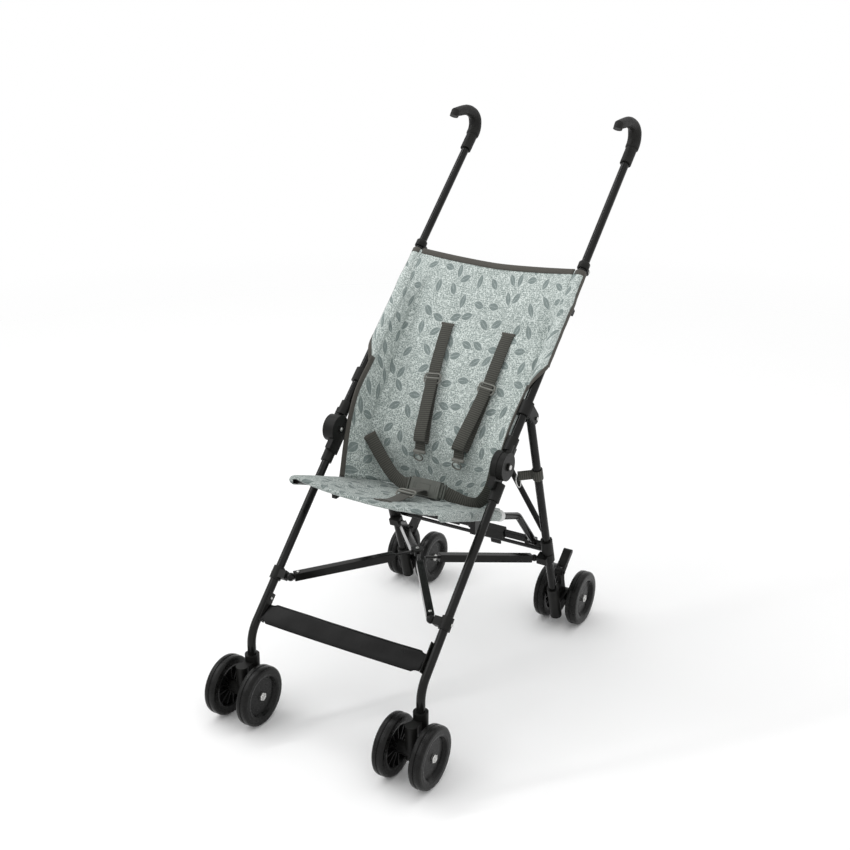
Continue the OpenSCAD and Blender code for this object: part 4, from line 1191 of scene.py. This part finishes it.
def fittings():
    """Rivets, screws and nuts on the frame."""
    for side, name in SIDES:
        out = Vector((side, 0, 0))
        base, upper, rear = name + "_frame", "upper_" + name, "rear_" + name
        # Name, step out from the tube's axis, place, body, diameter
        pivots = (("knuckle_rivet_", KNUCKLE_OUT, KNUCKLE, base, 9.0),
                  ("knuckle_rivet_inner_", -KNUCKLE_IN, KNUCKLE, base, 8.0),
                  ("rear_pivot_rivet_", PIVOT_OUT, REAR_PIVOT, upper, 7.0),
                  ("rear_pivot_rivet_inner_", -PIVOT_OUT, REAR_PIVOT, upper, 7.0),
                  ("rail_rivet_", -RAIL_RIVET_IN, rear_at(BRACKET_DOWN), rear, 7.0))
        for label, away, place, body, d in pivots:
            rivet(label + name, at(side * (HALF + away), *place), out * away, body, d)
        for k, away in enumerate((1, -1)):
            x = side * (HALF + away * NUT_X)
            hex_nut(f"front_nut_{name}_{k}", at(x, 0, WHEEL_R), out * away, "caster_" + name)
            hex_nut(f"rear_nut_{name}_{k}", at(x, WHEELBASE, WHEEL_R), out * away, rear)
        for k, s in enumerate(HANDLE_SCREWS_UP):
            rivet(f"handle_screw_{name}_{k}", at(side * HALF, *push_at(s, -HANDLE_R)), PUSH_BACK, upper, 6.0)
        rivet("leg_bracket_rivet_" + name, at(side * (HALF + BRACKET_R), *leg_at(BRACE_DOWN)), out, base, 6.0)
        x, y = ARM_RIVET
        for k, up in enumerate((1, -1)):
            place = at(side * x, y, BRACE_UP + up * (BAR_HIGH / 2 - 0.1))
            rivet(f"arm_rivet_{name}_{k}", place, (0, 0, up), "arm_" + name, 6.0)
    rivet("brace_rivet", at(0, KNUCKLE_BACK + HUB_BEHIND, BRACE_UP + HUB_TOP), (0, 0, 1), "hub", 6.5)


def tube_ring(name, centre, along, r, width, thick, material, slot, body):
    """Flat band round a tube."""
    back = ACROSS.cross(along).normalized()
    ring = [centre + (ACROSS * math.cos(t) + back * math.sin(t)) * r * MM for t in turns(28)]
    band = sweep(name, ring, [along] * len(ring), tape_profile(width, thick), material, True, 0.02)
    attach(band, body)


def corner_clips():
    """Plastic clips that hold the top corners of the cloth on the push tubes."""
    turn = Matrix.Rotation(-PUSH_LEAN, 3, "X")
    for side, name in SIDES:
        centre = at(side * HALF, *push_at(CLIP_UP))
        tube_ring("corner_clip_" + name, centre, PUSH_WAY, CLIP_R, *CLIP_SIZE, PLASTIC, "black_plastic",
                  "upper_" + name)
        lug = rounded_box("corner_lug_" + name, LUG_SIZE, centre + PUSH_BACK * LUG_BACK * MM, turn, 3.5,
                          PLASTIC)
        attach(lug, "upper_" + name)
        for k, dx in enumerate((-1, 1)):
            place = centre + (PUSH_BACK * (LUG_BACK + 1) + ACROSS * dx * LUG_SIZE[0] / 2) * MM
            rivet(f"corner_rivet_{name}_{k}", place, (dx, 0, 0), "upper_" + name, 6.0)


def rear_tie():
    """Thin tie between the brace runners."""
    place = rear_at(RUNNER_DOWN, TIE_BACK)
    places = [(x, *place) for x in (-TIE_HALF, TIE_HALF)]
    strap = tape("rear_tie", places, [Vector((0, -0.3, 0.95))] * 3, *TIE_SIZE, material=PAINT)
    fold_flat(strap, "runner_left")


def storage_loop():
    """Storage loop round the right rear leg, with its tab and wire ring."""
    centre = at(HALF, *rear_at(LOOP_DOWN))
    tube_ring("storage_loop", centre, REAR_WAY, LOOP_R, *LOOP_SIZE, WEB, "webbing", "rear_right")
    run = [centre + LOOP_LEAVE * d * MM for d in STORAGE_TAB]
    tab = strip("storage_tab", run, [REAR_WAY] * len(run), *STORAGE_TAB_SIZE, WEB)
    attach(tab, "rear_right")
    hang = centre + (LOOP_LEAVE * STORAGE_TAB[-1] + REAR_WAY * STORAGE_RING_DOWN) * MM
    wide, tall = STORAGE_RING
    eye = [hang + (LOOP_LEAVE * wide * math.cos(t) + REAR_WAY * tall * math.sin(t)) * MM for t in turns(24)]
    ring = wire("storage_ring", eye, STORAGE_WIRE, STEEL, hint=Vector((0.5, -0.86, 0)))
    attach(ring, "rear_right")


studio()
paint_frame()
seat_back()
tube_sleeves()
seat_pan()
shoulder_straps()
lap_straps()
buckle_details()
footrest()
fittings()
corner_clips()
rear_tie()
storage_loop()
